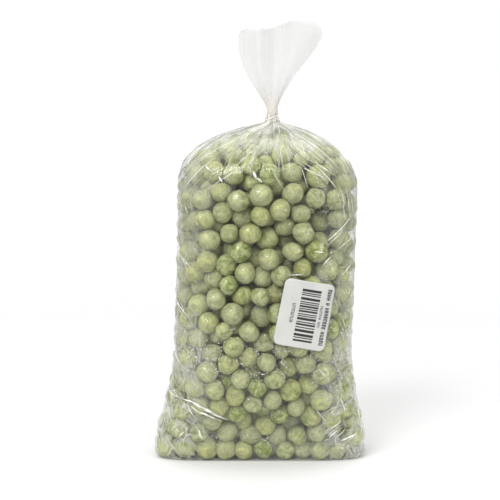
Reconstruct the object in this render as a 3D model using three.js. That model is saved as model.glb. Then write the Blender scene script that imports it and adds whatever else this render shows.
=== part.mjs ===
// A clear polythene bag of shelled green peas, twisted shut at the neck, standing on its flat foot.
// Millimetres, +Z up, the front of the bag faces -Y. The origin is the middle of the foot.
//
// The bag is one solid out to its film: a lofted tube of rings that runs from the foot, over the
// body and the dome, through the twisted neck and out into the pleated mouth. The film sags a
// little between the peas that press against it, so the peas are settled first, by a seeded rule.
import * as THREE from 'three';

// Body of the bag
const GIRTH = 268; // round the film tube, the same at every height
const WAIST_HALF_WIDTH = 43.4;
const FOOT_SPREAD = 8.4; // how much wider the foot is than the waist, on each side
const FOOT_HEIGHT = 5; // below this the side turns under, on a quarter circle
const FOOT_REACH = 26; // how far up the spread of the foot dies away
const WAIST_POWER = 2.8; // superellipse power of the section, rounder at the waist
const FOOT_POWER = 4.7; // and squarer at the foot
const SHOULDER_Z = 131.5;
const DOME_RISE = 28.6;
const LEAN = 0.029; // sideways drift of the bag's middle for each mm of height
const DOME_DRIFT = 1.4; // the dome bulges back to the left by this, under the neck

// Gathered film between the dome and the neck
const TENT_RISE = 2.8; // the gathers lift the top of the dome by this, at the neck
const TENT_REACH = 9; // and this far from it the lift has faded to a third
const PLEAT_DEPTH = 0.8;
const PLEATS = [ // two sets of pleats round the dome, which beat against each other
  { count: 13, share: 0.6, start: 0 },
  { count: 22, share: 0.4, start: 1 },
];

// Twisted neck
const NECK_X = 5.9;
const NECK_RADIUS = 2.5;
const NECK_TOP_Z = 170;
const TWIST_HEIGHT = 4; // the ribbed twist just above the dome
const TWIST_PITCH = 1.9;
const TWIST_RIB = 0.4;
const TWIST_FLARE = 1.1; // how much wider the twist is at its foot

// Open mouth, pleated like a fan
const MOUTH_HEIGHT = 37.4;
const MOUTH_LEFT_REACH = 16; // from the neck's middle to the mouth's left edge
const MOUTH_RIGHT_REACH = 24.2;
const MOUTH_FOLD_DEPTH = 4.2;
const MOUTH_FOLDS = [ // waves of the film to and fro across the mouth, in radians from middle to edge
  { waves: 6.4, share: 1, start: 0.9 },
  { waves: 14, share: 0.3, start: -1 },
];
const MOUTH_HALF_THICKNESS = 1.2;
const RIM_LOBE = { rise: 4.4, from: -0.1, to: 0.42 }; // the right half of the rim stands higher
const RIM_RIGHT_CORNER = { from: 0.52, drop: 7 }; // share across where the corner starts, its height
const RIM_LEFT_CORNER = { from: 0.8, drop: 3 };

// Peas
const PEA_COUNT = 830;
const PEA_RADIUS = 5;
const PEA_SPREAD = 0.18; // share by which the radius varies either way, at the most
const HEAP_RISE = 21; // the heap's own dome is lower than the film's
const FILM_SAG = 1; // depth of the film between peas
const SETTLING = {
  steps: 90,
  startSize: 0.55, // share of full size that the peas are dropped at
  growing: 0.6, // share of the steps in which they grow to full size
  push: 0.9, // share of an overlap that a pea moves back by at each step
  crowd: 2.4, // pushes that a pea can follow when several neighbours crowd it
  sink: 0.06,
};

// Stuck-on label
const LABEL = { width: 25, height: 32, corner: 3, thickness: 0.4, gap: 0.35 };
const LABEL_X = 21;
const LABEL_Z = 74.5;
const LABEL_TURN = THREE.MathUtils.degToRad(11.3);
const LABEL_HOLD = 4; // the film lies flat under the label and this far round it

// Mesh
const AROUND = 72; // points on a ring, a multiple of 4
const BODY_STEP = 3.2;
const DOME_RINGS = 14;
const NECK_RINGS = 9;
const MOUTH_RINGS = 11;
const LABEL_RIM_POINTS = 56;
const LABEL_RINGS = [1, 0.8, 0.6, 0.4, 0.2]; // shares of the label's outline

const { clamp, lerp, smoothstep } = THREE.MathUtils;
const TOP_OF_DOME = SHOULDER_Z + DOME_RISE + TENT_RISE;

// Seeded draws from 0 to 1, so that every run settles the same peas.
let drawState = 7;
function draw() {
  drawState = (Math.imul(drawState, 1664525) + 1013904223) >>> 0;
  return drawState / 2 ** 32;
}

// Section of the body at a height: half width, half depth, power and middle.
function bodySection(z, rise = DOME_RISE) {
  const spread = Math.exp(-((Math.max(z - FOOT_HEIGHT, 0) / FOOT_REACH) ** 2));
  const power = lerp(WAIST_POWER, FOOT_POWER, spread);
  const halfWidth = WAIST_HALF_WIDTH + FOOT_SPREAD * spread;
  const girthShare = lerp(0.85, 0.92, spread); // girth of the section over that of its box
  const halfDepth = GIRTH / 4 / girthShare - halfWidth;
  const up = clamp((z - SHOULDER_Z) / rise, 0, 1);
  const narrowing = Math.sqrt(Math.max(1 - up * up, 1e-9));
  const under = clamp((FOOT_HEIGHT - z) / FOOT_HEIGHT, 0, 1);
  const tuck = FOOT_HEIGHT * (1 - Math.sqrt(Math.max(1 - under * under, 0)));
  return {
    halfWidth: Math.max(halfWidth * narrowing - tuck, 0.5),
    halfDepth: Math.max(halfDepth * narrowing - tuck, 0.5),
    power: lerp(power, 2.2, up),
    middle: LEAN * z,
  };
}

// How far out a point is, 0 on the bag's axis and 1 on the wall.
function outness(x, y, z, rise) {
  const s = bodySection(z, rise);
  const across = (Math.abs(x - s.middle) / s.halfWidth) ** s.power;
  const deep = (Math.abs(y) / s.halfDepth) ** s.power;
  return (across + deep) ** (1 / s.power);
}

// Distance from a point to the wall of the heap, and the way in.
function wallOfHeap(p) {
  const step = 0.05;
  const slope = new THREE.Vector3(
    outness(p.x + step, p.y, p.z, HEAP_RISE) - outness(p.x - step, p.y, p.z, HEAP_RISE),
    outness(p.x, p.y + step, p.z, HEAP_RISE) - outness(p.x, p.y - step, p.z, HEAP_RISE),
    outness(p.x, p.y, p.z + step, HEAP_RISE) - outness(p.x, p.y, p.z - step, HEAP_RISE),
  ).divideScalar(2 * step);
  const steepness = Math.max(slope.length(), 1e-6);
  const distance = (1 - outness(p.x, p.y, p.z, HEAP_RISE)) / steepness;
  return { distance, inward: slope.divideScalar(-steepness) };
}

// Small peas dropped at random into the heap's space.
function dropPeas() {
  const peas = [];
  const top = SHOULDER_Z + HEAP_RISE;
  const side = WAIST_HALF_WIDTH + FOOT_SPREAD;
  const clear = 0.9 * PEA_RADIUS;
  while (peas.length < PEA_COUNT) {
    const at = new THREE.Vector3(draw() * 2 - 1, draw() * 2 - 1, draw());
    at.multiply(new THREE.Vector3(side, side, top));
    if (outness(at.x, at.y, at.z, HEAP_RISE) > 0.9 || at.z < clear || at.z > top - clear) continue;
    const size = (draw() + draw() + draw()) / 1.5 - 1;
    peas.push({ at, full: PEA_RADIUS * (1 + PEA_SPREAD * size) });
  }
  return peas;
}

// Moves apart every two peas that overlap, each by its share.
function pushApart(peas) {
  const between = new THREE.Vector3();
  for (const pea of peas) Object.assign(pea, { push: new THREE.Vector3(), touching: 0 });
  for (let i = 0; i < peas.length; i++) {
    for (let j = i + 1; j < peas.length; j++) {
      const a = peas[i];
      const b = peas[j];
      between.subVectors(a.at, b.at);
      const apart = between.length();
      const overlap = a.radius + b.radius - apart;
      if (overlap <= 0) continue;
      between.multiplyScalar((overlap * 0.5) / apart);
      a.push.add(between);
      b.push.sub(between);
      a.touching++;
      b.touching++;
    }
  }
  const { push, crowd } = SETTLING;
  for (const pea of peas) pea.at.addScaledVector(pea.push, Math.min(push, crowd / (pea.touching + 1)));
}

// Peas grow to size while they push each other, the wall and the floor, and sink a little.
function settlePeas() {
  const { steps, startSize, growing, sink } = SETTLING;
  const peas = dropPeas();
  for (let step = 0; step < steps; step++) {
    const grown = Math.min(lerp(startSize, 1, step / (growing * steps)), 1);
    for (const pea of peas) pea.radius = pea.full * grown;
    pushApart(peas);
    for (const pea of peas) {
      pea.at.z -= sink;
      const { distance, inward } = wallOfHeap(pea.at);
      pea.at.addScaledVector(inward, Math.max(pea.radius - distance, 0));
      pea.at.z = Math.max(pea.at.z, pea.radius);
    }
  }
  return peas;
}

// Points spread evenly round a superellipse, starting at +X and turning towards +Y.
function evenRing({ halfWidth, halfDepth, power }) {
  const fine = 24;
  const quarter = AROUND / 4;
  const corner = [];
  for (let i = 0; i <= quarter * fine; i++) {
    const angle = (Math.PI / 2) * (i / (quarter * fine));
    const x = halfWidth * Math.cos(angle) ** (2 / power);
    const y = halfDepth * Math.sin(angle) ** (2 / power);
    corner.push(new THREE.Vector2(i === quarter * fine ? 0 : x, i === 0 ? 0 : y));
  }
  const lengths = [0];
  for (let i = 1; i < corner.length; i++) {
    lengths.push(lengths[i - 1] + corner[i].distanceTo(corner[i - 1]));
  }
  const points = [];
  let k = 0;
  for (let i = 0; i <= quarter; i++) {
    const wanted = (lengths.at(-1) * i) / quarter;
    while (k < corner.length - 2 && lengths[k + 1] < wanted) k++;
    const share = clamp((wanted - lengths[k]) / (lengths[k + 1] - lengths[k]), 0, 1);
    points.push(corner[k].clone().lerp(corner[k + 1], share));
  }
  const half = [...points, ...points.slice(0, -1).reverse().map((p) => new THREE.Vector2(-p.x, p.y))];
  return [...half, ...half.slice(1, -1).reverse().map((p) => new THREE.Vector2(p.x, -p.y))];
}

// Upright side of the bag, as one ring of points at a height.
function bodyRing(z) {
  const section = bodySection(z);
  return evenRing(section).map((p) => new THREE.Vector3(section.middle + p.x, p.y, z));
}

// Dome of film from the shoulder to the neck, rising into a small tent, with radiating pleats.
function domeRing(share) {
  const angle = (share * Math.PI) / 2;
  const shoulder = bodySection(SHOULDER_Z);
  const end = NECK_RADIUS + TWIST_FLARE;
  const section = {
    halfWidth: lerp(end, shoulder.halfWidth, Math.cos(angle)),
    halfDepth: lerp(end, shoulder.halfDepth, Math.cos(angle)),
    power: lerp(WAIST_POWER, 2, share),
  };
  const tent = TENT_RISE * Math.exp(-(section.halfWidth - end) / TENT_REACH);
  const z = SHOULDER_Z + DOME_RISE * Math.sin(angle) + tent;
  const drift = DOME_DRIFT * Math.sin(Math.PI * Math.min(share * 1.25, 1));
  const middle = lerp(LEAN * SHOULDER_Z, NECK_X, share ** 2) - drift;
  const deep = PLEAT_DEPTH * Math.sin(Math.PI * Math.min(share * 1.1, 1) ** 1.5);
  return evenRing(section).map((p, i) => {
    const turn = (2 * Math.PI * i) / AROUND;
    const wave = PLEATS.reduce((sum, w) => sum + w.share * Math.sin(w.count * turn + w.start), 0);
    return new THREE.Vector3(middle + p.x, p.y, z + deep * wave);
  });
}

// Neck: ribbed by the twist at its foot, plain above.
function neckRing(share) {
  const z = lerp(TOP_OF_DOME, NECK_TOP_Z, share);
  const above = z - TOP_OF_DOME;
  const loosened = TWIST_FLARE * (1 - smoothstep(above, 0, TWIST_HEIGHT));
  const ribbed = TWIST_RIB * (1 - smoothstep(above, TWIST_HEIGHT * 0.7, TWIST_HEIGHT * 1.2));
  const radius = NECK_RADIUS + loosened;
  return evenRing({ halfWidth: radius, halfDepth: radius, power: 2 }).map((p, i) => {
    const turn = (2 * Math.PI * i) / AROUND;
    const rib = ribbed * Math.sin((2 * Math.PI * above) / TWIST_PITCH - turn) * Math.min(share * 4, 1);
    const out = 1 + rib / radius;
    return new THREE.Vector3(NECK_X + p.x * out, p.y * out, z);
  });
}

// Height of the mouth's rim above the neck, from its left end, -1, to its right end, 1.
function rimHeight(across) {
  const lobe = RIM_LOBE.rise * smoothstep(across, RIM_LOBE.from, RIM_LOBE.to);
  const corner = across > 0 ? RIM_RIGHT_CORNER : RIM_LEFT_CORNER;
  const into = Math.max((Math.abs(across) - corner.from) / (1 - corner.from), 0);
  return MOUTH_HEIGHT + lobe - corner.drop * (1 - Math.sqrt(1 - Math.min(into, 1) ** 2));
}

// Mouth: the flattened tube of film, folded to and fro like a fan that opens from the neck. Its
// left edge swings out at once and its right edge later.
function mouthRing(share) {
  const leftOpened = Math.sin((Math.PI / 2) * Math.min(1.12 * share ** 1.1, 1));
  const rightOpened = lerp(share, smoothstep(share ** 1.15, 0, 1), 0.5);
  const leftReach = lerp(NECK_RADIUS, MOUTH_LEFT_REACH, leftOpened);
  const rightReach = lerp(NECK_RADIUS, MOUTH_RIGHT_REACH, rightOpened);
  const halfThickness = lerp(NECK_RADIUS, MOUTH_HALF_THICKNESS, smoothstep(share, 0, 0.5));
  const foldDepth = MOUTH_FOLD_DEPTH * smoothstep(share, 0, 0.8);
  return Array.from({ length: AROUND }, (_, i) => {
    const turn = (2 * Math.PI * i) / AROUND;
    const across = Math.cos(turn);
    const fold = MOUTH_FOLDS.reduce((sum, w) => sum + w.share * Math.sin(w.waves * across + w.start), 0);
    const folded = foldDepth * fold * (1 - 0.4 * across ** 2);
    return new THREE.Vector3(
      NECK_X + across * (across < 0 ? leftReach : rightReach),
      folded + halfThickness * Math.sin(turn),
      NECK_TOP_Z + share * rimHeight(across),
    );
  });
}

// Every ring of the film tube, from the foot up to the rim of the mouth.
function filmRings() {
  const rings = [0, 0.8, 2.4].map(bodyRing);
  const steps = Math.round((SHOULDER_Z - FOOT_HEIGHT) / BODY_STEP);
  for (let i = 0; i <= steps; i++) rings.push(bodyRing(lerp(FOOT_HEIGHT, SHOULDER_Z, i / steps)));
  for (let i = 1; i <= DOME_RINGS; i++) rings.push(domeRing(i / DOME_RINGS));
  for (let i = 1; i <= NECK_RINGS; i++) rings.push(neckRing(i / NECK_RINGS));
  for (let i = 1; i <= MOUTH_RINGS; i++) rings.push(mouthRing(i / MOUTH_RINGS));
  return rings;
}

// A closed skin over the rings. Each end is zipped across, front to back, so that the foot is flat.
function skinOver(rings) {
  const positions = rings.flatMap((ring) => ring.flatMap((p) => p.toArray()));
  const index = [];
  for (let j = 0; j + 1 < rings.length; j++) {
    for (let i = 0; i < AROUND; i++) {
      const a = j * AROUND + i;
      const b = j * AROUND + ((i + 1) % AROUND);
      index.push(a, b, b + AROUND, a, b + AROUND, a + AROUND);
    }
  }
  const zip = (first, facingUp) => {
    for (let i = 0; i < AROUND / 2; i++) {
      const a = first + i;
      const b = first + i + 1;
      const c = first + ((AROUND - i - 1) % AROUND);
      const d = first + ((AROUND - i) % AROUND);
      let halves = [[a, b, c], [a, c, d]];
      if (i === 0) halves = [[a, b, c]];
      if (i === AROUND / 2 - 1) halves = [[a, b, d]];
      for (const [p, q, r] of halves) index.push(...(facingUp ? [p, q, r] : [p, r, q]));
    }
  };
  zip(0, false);
  zip((rings.length - 1) * AROUND, true);
  const skin = new THREE.BufferGeometry();
  skin.setAttribute('position', new THREE.Float32BufferAttribute(positions, 3));
  skin.setIndex(index);
  return skin;
}

// Point on the front of the smooth bag that lies a distance along the film from the label's middle.
function onFront(along, z, standOff) {
  const { halfWidth, halfDepth, power, middle } = bodySection(z);
  const front = (x) => {
    const across = Math.min(Math.abs((x - middle) / halfWidth), 1);
    return -halfDepth * (1 - across ** power) ** (1 / power);
  };
  const stride = 0.25 * Math.sign(along);
  let x = LABEL_X;
  let left = Math.abs(along);
  while (left > 0) {
    const whole = Math.hypot(stride, front(x + stride) - front(x));
    x += stride * Math.min(left / whole, 1);
    left -= whole;
  }
  const slope = (front(x + 0.1) - front(x - 0.1)) / 0.2;
  const steep = Math.hypot(slope, 1);
  return new THREE.Vector3(x + (standOff * slope) / steep, front(x) - standOff / steep, z);
}

// 1 under the label, where the film lies flat against its glue, fading to 0 around it.
function underLabel(p) {
  if (p.y > 0) return 0;
  const slant = 0.9; // the front turns away from the viewer here, which narrows it by this
  const dx = (p.x - LABEL_X) / slant;
  const dz = p.z - LABEL_Z;
  const across = Math.abs(dx * Math.cos(LABEL_TURN) - dz * Math.sin(LABEL_TURN));
  const up = Math.abs(dx * Math.sin(LABEL_TURN) + dz * Math.cos(LABEL_TURN));
  const beyond = Math.max(across - LABEL.width / 2, up - LABEL.height / 2);
  return 1 - smoothstep(beyond, 0, LABEL_HOLD);
}

// Draws the film back between the peas: down to the nearest pea, or to its sag where there is none.
function pressOntoPeas(skin, peas) {
  skin.computeVertexNormals();
  const position = skin.getAttribute('position');
  const normal = skin.getAttribute('normal');
  const p = new THREE.Vector3();
  const out = new THREE.Vector3();
  const toPea = new THREE.Vector3();
  for (let i = AROUND; i < position.count; i++) {
    p.fromBufferAttribute(position, i);
    const loose = smoothstep(p.z, SHOULDER_Z + 6, SHOULDER_Z + 17);
    const held = Math.max(loose, underLabel(p), 1 - smoothstep(p.z, 0, FOOT_HEIGHT));
    if (held >= 1) continue;
    out.fromBufferAttribute(normal, i);
    let height = -FILM_SAG;
    for (const pea of peas) {
      toPea.subVectors(pea.at, p);
      const along = toPea.dot(out);
      const aside = toPea.lengthSq() - along * along;
      const reach = pea.radius ** 2 - aside;
      if (reach > 0 && along > -2 * pea.radius) height = Math.max(height, along + Math.sqrt(reach));
    }
    p.addScaledVector(out, Math.min(height, 0) * (1 - held));
    position.setXYZ(i, p.x, p.y, p.z);
  }
  skin.computeVertexNormals();
  return skin;
}

// The bag: film and peas as one solid, out to the film.
function bag() {
  const skin = pressOntoPeas(skinOver(filmRings()), settlePeas());
  const film = new THREE.MeshStandardMaterial({ color: 0xa8ae7e, roughness: 0.3, metalness: 0 });
  const mesh = new THREE.Mesh(skin, film);
  mesh.name = 'bag_of_peas';
  return mesh;
}

// The label: a rounded rectangle of paper, extruded and wrapped onto the front of the bag.
function label() {
  const { width, height, corner, thickness, gap } = LABEL;
  const outline = new THREE.Shape();
  outline.absarc(width / 2 - corner, height / 2 - corner, corner, 0, Math.PI / 2);
  outline.absarc(corner - width / 2, height / 2 - corner, corner, Math.PI / 2, Math.PI);
  outline.absarc(corner - width / 2, corner - height / 2, corner, Math.PI, 1.5 * Math.PI);
  outline.absarc(width / 2 - corner, corner - height / 2, corner, 1.5 * Math.PI, 2 * Math.PI);
  const rim = outline.getSpacedPoints(LABEL_RIM_POINTS).slice(0, -1);
  const flat = LABEL_RINGS.flatMap((share) => rim.map((p) => p.clone().multiplyScalar(share)));
  flat.push(new THREE.Vector2(0, 0));
  const wrapped = (standOff) =>
    flat.map((p) => {
      const along = p.x * Math.cos(LABEL_TURN) + p.y * Math.sin(LABEL_TURN);
      const up = -p.x * Math.sin(LABEL_TURN) + p.y * Math.cos(LABEL_TURN);
      return onFront(along, LABEL_Z + up, standOff);
    });
  const count = flat.length;
  const positions = [...wrapped(gap), ...wrapped(gap + thickness)].flatMap((p) => p.toArray());
  const index = [];
  const middle = count - 1;
  for (let i = 0; i < rim.length; i++) {
    const j = (i + 1) % rim.length;
    for (let ring = 0; ring + 1 < LABEL_RINGS.length; ring++) {
      const [a, b] = [ring * rim.length + i, ring * rim.length + j];
      const [c, d] = [a + rim.length, b + rim.length];
      index.push(a, d, b, a, c, d);
      index.push(count + a, count + b, count + d, count + a, count + d, count + c);
    }
    const last = (LABEL_RINGS.length - 1) * rim.length;
    index.push(last + i, middle, last + j);
    index.push(count + last + i, count + last + j, count + middle);
    index.push(i, j, count + j, i, count + j, count + i);
  }
  const sticker = new THREE.BufferGeometry();
  sticker.setAttribute('position', new THREE.Float32BufferAttribute(positions, 3));
  sticker.setIndex(index);
  sticker.computeVertexNormals();
  const paper = new THREE.MeshStandardMaterial({ color: 0xe4e3de, roughness: 0.45, metalness: 0 });
  const mesh = new THREE.Mesh(sticker, paper);
  mesh.name = 'label';
  return mesh;
}

const bagOfPeas = new THREE.Group();
bagOfPeas.add(bag(), label());

export default bagOfPeas;
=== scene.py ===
# %% [markdown]
# # A clear bag of green peas
# A polythene bag holds about 900 shelled peas. Its film is gathered over them into a dome, twisted
# into a thin neck, and the free mouth flares above the neck like a fan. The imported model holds
# the whole bag as one solid, so here it is taken apart again into what the eye sees: peas, film,
# the droplets under the film, and the sticker with its print.

# %% Load the fixed frame
import math

import bpy
import mathutils
import numpy as np
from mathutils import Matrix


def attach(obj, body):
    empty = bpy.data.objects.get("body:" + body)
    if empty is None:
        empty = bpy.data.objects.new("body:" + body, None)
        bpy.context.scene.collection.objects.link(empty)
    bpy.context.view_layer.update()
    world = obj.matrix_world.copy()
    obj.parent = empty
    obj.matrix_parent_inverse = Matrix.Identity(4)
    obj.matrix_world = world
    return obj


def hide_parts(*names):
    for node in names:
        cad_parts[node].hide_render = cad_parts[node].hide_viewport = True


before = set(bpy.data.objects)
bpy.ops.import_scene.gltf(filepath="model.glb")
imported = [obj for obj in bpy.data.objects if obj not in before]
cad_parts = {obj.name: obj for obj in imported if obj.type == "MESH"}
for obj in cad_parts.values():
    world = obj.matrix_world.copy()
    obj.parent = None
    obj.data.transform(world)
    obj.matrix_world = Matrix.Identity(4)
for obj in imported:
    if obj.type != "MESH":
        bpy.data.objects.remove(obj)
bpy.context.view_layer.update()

MM = 0.001

# %% [markdown]
# ## Small helpers
# The shapes below are worked out in millimetres with NumPy and turned into metres once, when the
# mesh is made. Trees of nodes, for shapes and for materials alike, are written with one helper
# that adds a node, sets its properties and feeds its sockets, so that a tree reads top to bottom.

# %% Helpers for numbers, nodes and meshes
def smooth(x, low, high):
    """0 below low, 1 above high, and an even S between them."""
    t = np.clip((x - low) / (high - low), 0, 1)
    return t * t * (3 - 2 * t)


def node(tree, kind, inputs=None, **settings):
    """Adds a node. inputs maps a socket's name or number to a value or to another node's socket."""
    made = tree.nodes.new(kind)
    for name, value in settings.items():
        setattr(made, name, value)
    for key, value in (inputs or {}).items():
        if isinstance(value, bpy.types.NodeSocket):
            tree.links.new(value, made.inputs[key])
        else:
            made.inputs[key].default_value = value
    return made


def calc(tree, operation, *values):
    """The result of a Math node."""
    return node(tree, "ShaderNodeMath", dict(enumerate(values)), operation=operation).outputs[0]


def blend(tree, share, a, b):
    """A colour between a and b."""
    inputs = {"Factor": share, "A": a, "B": b}
    mixer = tree.nodes.new("ShaderNodeMix")
    mixer.data_type = "RGBA"
    for name, value in inputs.items():
        sockets = [s for s in mixer.inputs if s.name == name and s.enabled]
        if isinstance(value, bpy.types.NodeSocket):
            tree.links.new(value, sockets[0])
        else:
            sockets[0].default_value = value
    return [s for s in mixer.outputs if s.enabled][0]


def ramp(tree, value, low, high, to_low=0.0, to_high=1.0):
    """value, brought from low..high to to_low..to_high along an S, and held there outside."""
    inputs = {"Value": value, "From Min": low, "From Max": high, "To Min": to_low, "To Max": to_high}
    made = node(tree, "ShaderNodeMapRange", inputs, interpolation_type="SMOOTHSTEP")
    return made.outputs["Result"]


def noise(tree, place, scale, **more):
    """Cloudy noise between 0 and 1 at places; a larger scale gives smaller clouds."""
    return node(tree, "ShaderNodeTexNoise", {"Vector": place, "Scale": scale, **more}).outputs["Fac"]


def new_material(name):
    """An empty material and its tree, with the output node ready."""
    material = bpy.data.materials.new(name)
    material.use_nodes = True
    tree = material.node_tree
    tree.nodes.clear()
    return material, tree, tree.nodes.new("ShaderNodeOutputMaterial")


def linear(red, green, blue):
    """A colour as a picture states it, from 0 to 255, as the linear values that shaders take."""
    parts = [c / 255 for c in (red, green, blue)]
    return tuple(((c + 0.055) / 1.055) ** 2.4 if c > 0.04045 else c / 12.92 for c in parts) + (1,)


def mesh_object(name, points, faces, material):
    """A smooth-shaded mesh object from points in millimetres and lists of corners."""
    mesh = bpy.data.meshes.new(name)
    mesh.from_pydata((np.asarray(points) * MM).tolist(), [], faces)
    mesh.polygons.foreach_set("use_smooth", [True] * len(mesh.polygons))
    mesh.materials.append(material)
    made = bpy.data.objects.new(name, mesh)
    bpy.context.scene.collection.objects.link(made)
    return made


def store(mesh, name, values, kind="FLOAT"):
    """Keeps one value, or one vector, for each point of a mesh."""
    layer = mesh.attributes.new(name, kind, "POINT")
    layer.data.foreach_set("value" if kind == "FLOAT" else "vector", np.asarray(values, float).ravel())


def input_socket(tree, name, kind, default=None):
    """A named input of a Geometry Nodes tree."""
    made = tree.interface.new_socket(name, in_out="INPUT", socket_type=kind)
    if default is not None:
        made.default_value = default
    return made.identifier


def shape_tree(name, source, size_name, size_kind, size):
    """A Geometry Nodes tree with a source and one size as inputs; its input node; the size's key."""
    tree = bpy.data.node_groups.new(name, "GeometryNodeTree")
    tree.interface.new_socket("Geometry", in_out="OUTPUT", socket_type="NodeSocketGeometry")
    input_socket(tree, source, "NodeSocketGeometry")
    key = input_socket(tree, size_name, size_kind, size)
    return tree, tree.nodes.new("NodeGroupInput"), key


def end_tree(tree, geometry, material):
    """Makes the instances real, paints them and hands them out of the tree."""
    real = node(tree, "GeometryNodeRealizeInstances", {"Geometry": geometry}).outputs[0]
    painted = node(tree, "GeometryNodeSetMaterial", {"Geometry": real, "Material": material}).outputs[0]
    tree.links.new(painted, tree.nodes.new("NodeGroupOutput").inputs[0])


def grown_mesh(name, source, tree, sizes, material):
    """Runs a Geometry Nodes tree on an object and keeps the result as a plain mesh object."""
    modifier = source.modifiers.new("grow", "NODES")
    modifier.node_group = tree
    for identifier, value in sizes.items():
        modifier[identifier] = value
    evaluated = source.evaluated_get(bpy.context.evaluated_depsgraph_get())
    mesh = bpy.data.meshes.new_from_object(evaluated)
    bpy.data.objects.remove(source)
    mesh.name = name
    if not mesh.materials:
        mesh.materials.append(material)
    made = bpy.data.objects.new(name, mesh)
    bpy.context.scene.collection.objects.link(made)
    mesh.calc_loop_triangles()
    print(name, "has", len(mesh.loop_triangles), "triangles")
    return made


# %% [markdown]
# ## The bag's section
# A bag like this is a tube of film whose girth is the same everywhere. At the foot it is wide and
# shallow, and higher up the peas push it rounder, so it gets narrower and deeper. A superellipse
# with those two half sizes and a power for its corners follows that with three numbers a height,
# which a spline cage would need dozens of points for.

# %% Section of the bag at each height
GIRTH = 268.0
WAIST_HALF_WIDTH = 43.4
FOOT_SPREAD = 8.4
FOOT_HEIGHT = 5.0
FOOT_REACH = 26.0
FOOT_CORNER = 3.4
WAIST_POWER, FOOT_POWER = 2.8, 4.7
SHOULDER_Z = 131.5
DOME_RISE = 28.6
LEAN = 0.029


def body_section(z, rise=DOME_RISE):
    """Half width, half depth, superellipse power and middle of the bag at heights z."""
    z = np.asarray(z, float)
    spread = np.exp(-((np.maximum(z - FOOT_HEIGHT, 0) / FOOT_REACH) ** 2))
    power = WAIST_POWER + (FOOT_POWER - WAIST_POWER) * spread
    half_width = WAIST_HALF_WIDTH + FOOT_SPREAD * spread
    half_depth = GIRTH / 4 / (0.85 + 0.07 * spread) - half_width
    up = np.clip((z - SHOULDER_Z) / rise, 0, 1)
    narrowing = np.sqrt(np.maximum(1 - up * up, 1e-9))
    under = np.clip((FOOT_CORNER - z) / FOOT_CORNER, 0, 1)
    tuck = FOOT_CORNER * (1 - np.sqrt(np.maximum(1 - under * under, 0)))
    half_width = np.maximum(half_width * narrowing - tuck, 0.5)
    half_depth = np.maximum(half_depth * narrowing - tuck, 0.5)
    return half_width, half_depth, power + (2.2 - power) * up, LEAN * z


print("waist, mm:", [round(float(v), 1) for v in body_section(70.0)[:2]])

# %% [markdown]
# ## Where the peas lie
# Peas in a bag are a random close packing: they can't be set out by a grid without looking like
# one. A rigid body simulation would find a packing, but it is slow and hard to repeat. Here small
# peas are dropped at random and grown to size over 90 steps, while each step pushes apart what
# overlaps, holds everything inside the film and lets it sink a little. A seeded draw makes the
# same heap every time. The heap leaves room under the dome and at both ends of the foot, and a
# few more peas are fitted in there. All are then drawn a little larger, which closes the gaps seen
# through the film, and so neighbours overlap, most by a millimetre or two.

# %% Settle the peas
PEA_COUNT = 830
PEA_RADIUS = 5.0
PEA_SPREAD = 0.18
HEAP_RISE = 21.0
SETTLING_STEPS = 90
START_SIZE = 0.55


def draws(state=7):
    """An endless run of numbers from 0 to 1, the same each time."""
    while True:
        state = (state * 1664525 + 1013904223) % 2**32
        yield state / 2**32


def outness(at, rise):
    """0 on the heap's axis and 1 on its wall."""
    half_width, half_depth, power, middle = body_section(at[:, 2], rise)
    across = (np.abs(at[:, 0] - middle) / half_width) ** power
    return (across + (np.abs(at[:, 1]) / half_depth) ** power) ** (1 / power)


def wall(at, rise=HEAP_RISE, step=0.05):
    """Distance to the heap's wall, and the way in, for each point."""
    ways = np.eye(3) * step
    slope = np.stack([outness(at + w, rise) - outness(at - w, rise) for w in ways], 1) / (2 * step)
    steep = np.maximum(np.linalg.norm(slope, axis=1), 1e-6)
    return (1 - outness(at, rise)) / steep, -slope / steep[:, None]


def drop_peas():
    """Places and full radii of small peas dropped at random into the heap's space."""
    number = draws()
    top = SHOULDER_Z + HEAP_RISE
    side = WAIST_HALF_WIDTH + FOOT_SPREAD
    clear = 0.9 * PEA_RADIUS
    places, radii = [], []
    while len(places) < PEA_COUNT:
        x, y, z = next(number) * 2 - 1, next(number) * 2 - 1, next(number)
        at = np.array([[x * side, y * side, z * top]])
        if outness(at, HEAP_RISE)[0] > 0.9 or not clear <= at[0, 2] <= top - clear:
            continue
        size = (next(number) + next(number) + next(number)) / 1.5 - 1
        places.append(at[0])
        radii.append(PEA_RADIUS * (1 + PEA_SPREAD * size))
    return np.array(places), np.array(radii)


def push_apart(at, radius):
    """How far each pea moves to get clear of those that it overlaps."""
    square = (at**2).sum(1)
    apart_squared = square[:, None] + square - 2 * at @ at.T
    reach = radius[:, None] + radius
    a, b = np.nonzero(np.triu(apart_squared < reach**2, 1))
    between = at[a] - at[b]
    apart = np.linalg.norm(between, axis=1)
    between *= ((radius[a] + radius[b] - apart) / 2 / apart)[:, None]
    push = np.zeros_like(at)
    np.add.at(push, a, between)
    np.add.at(push, b, -between)
    touching = np.bincount(a, minlength=len(at)) + np.bincount(b, minlength=len(at))
    return push * np.minimum(0.9, 2.4 / (touching + 1))[:, None]


def settle_peas():
    """Final places and radii."""
    at, full = drop_peas()
    for step in range(SETTLING_STEPS):
        grown = START_SIZE + (1 - START_SIZE) * step / (0.6 * SETTLING_STEPS)
        radius = full * min(grown, 1)
        at += push_apart(at, radius)
        at[:, 2] -= 0.06
        distance, inward = wall(at)
        at += inward * np.maximum(radius - distance, 0)[:, None]
        at[:, 2] = np.maximum(at[:, 2], radius)
    return at, full


SOFTNESS = 1.05  # how much larger the peas are drawn than they were settled
DOME_SPACE = ((-38, -26, 144), (42, 26, 152))
FOOT_ENDS = (((-50, -15, 4), (-38, 15, 34)), ((38, -15, 4), (51, 15, 34)))


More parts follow.
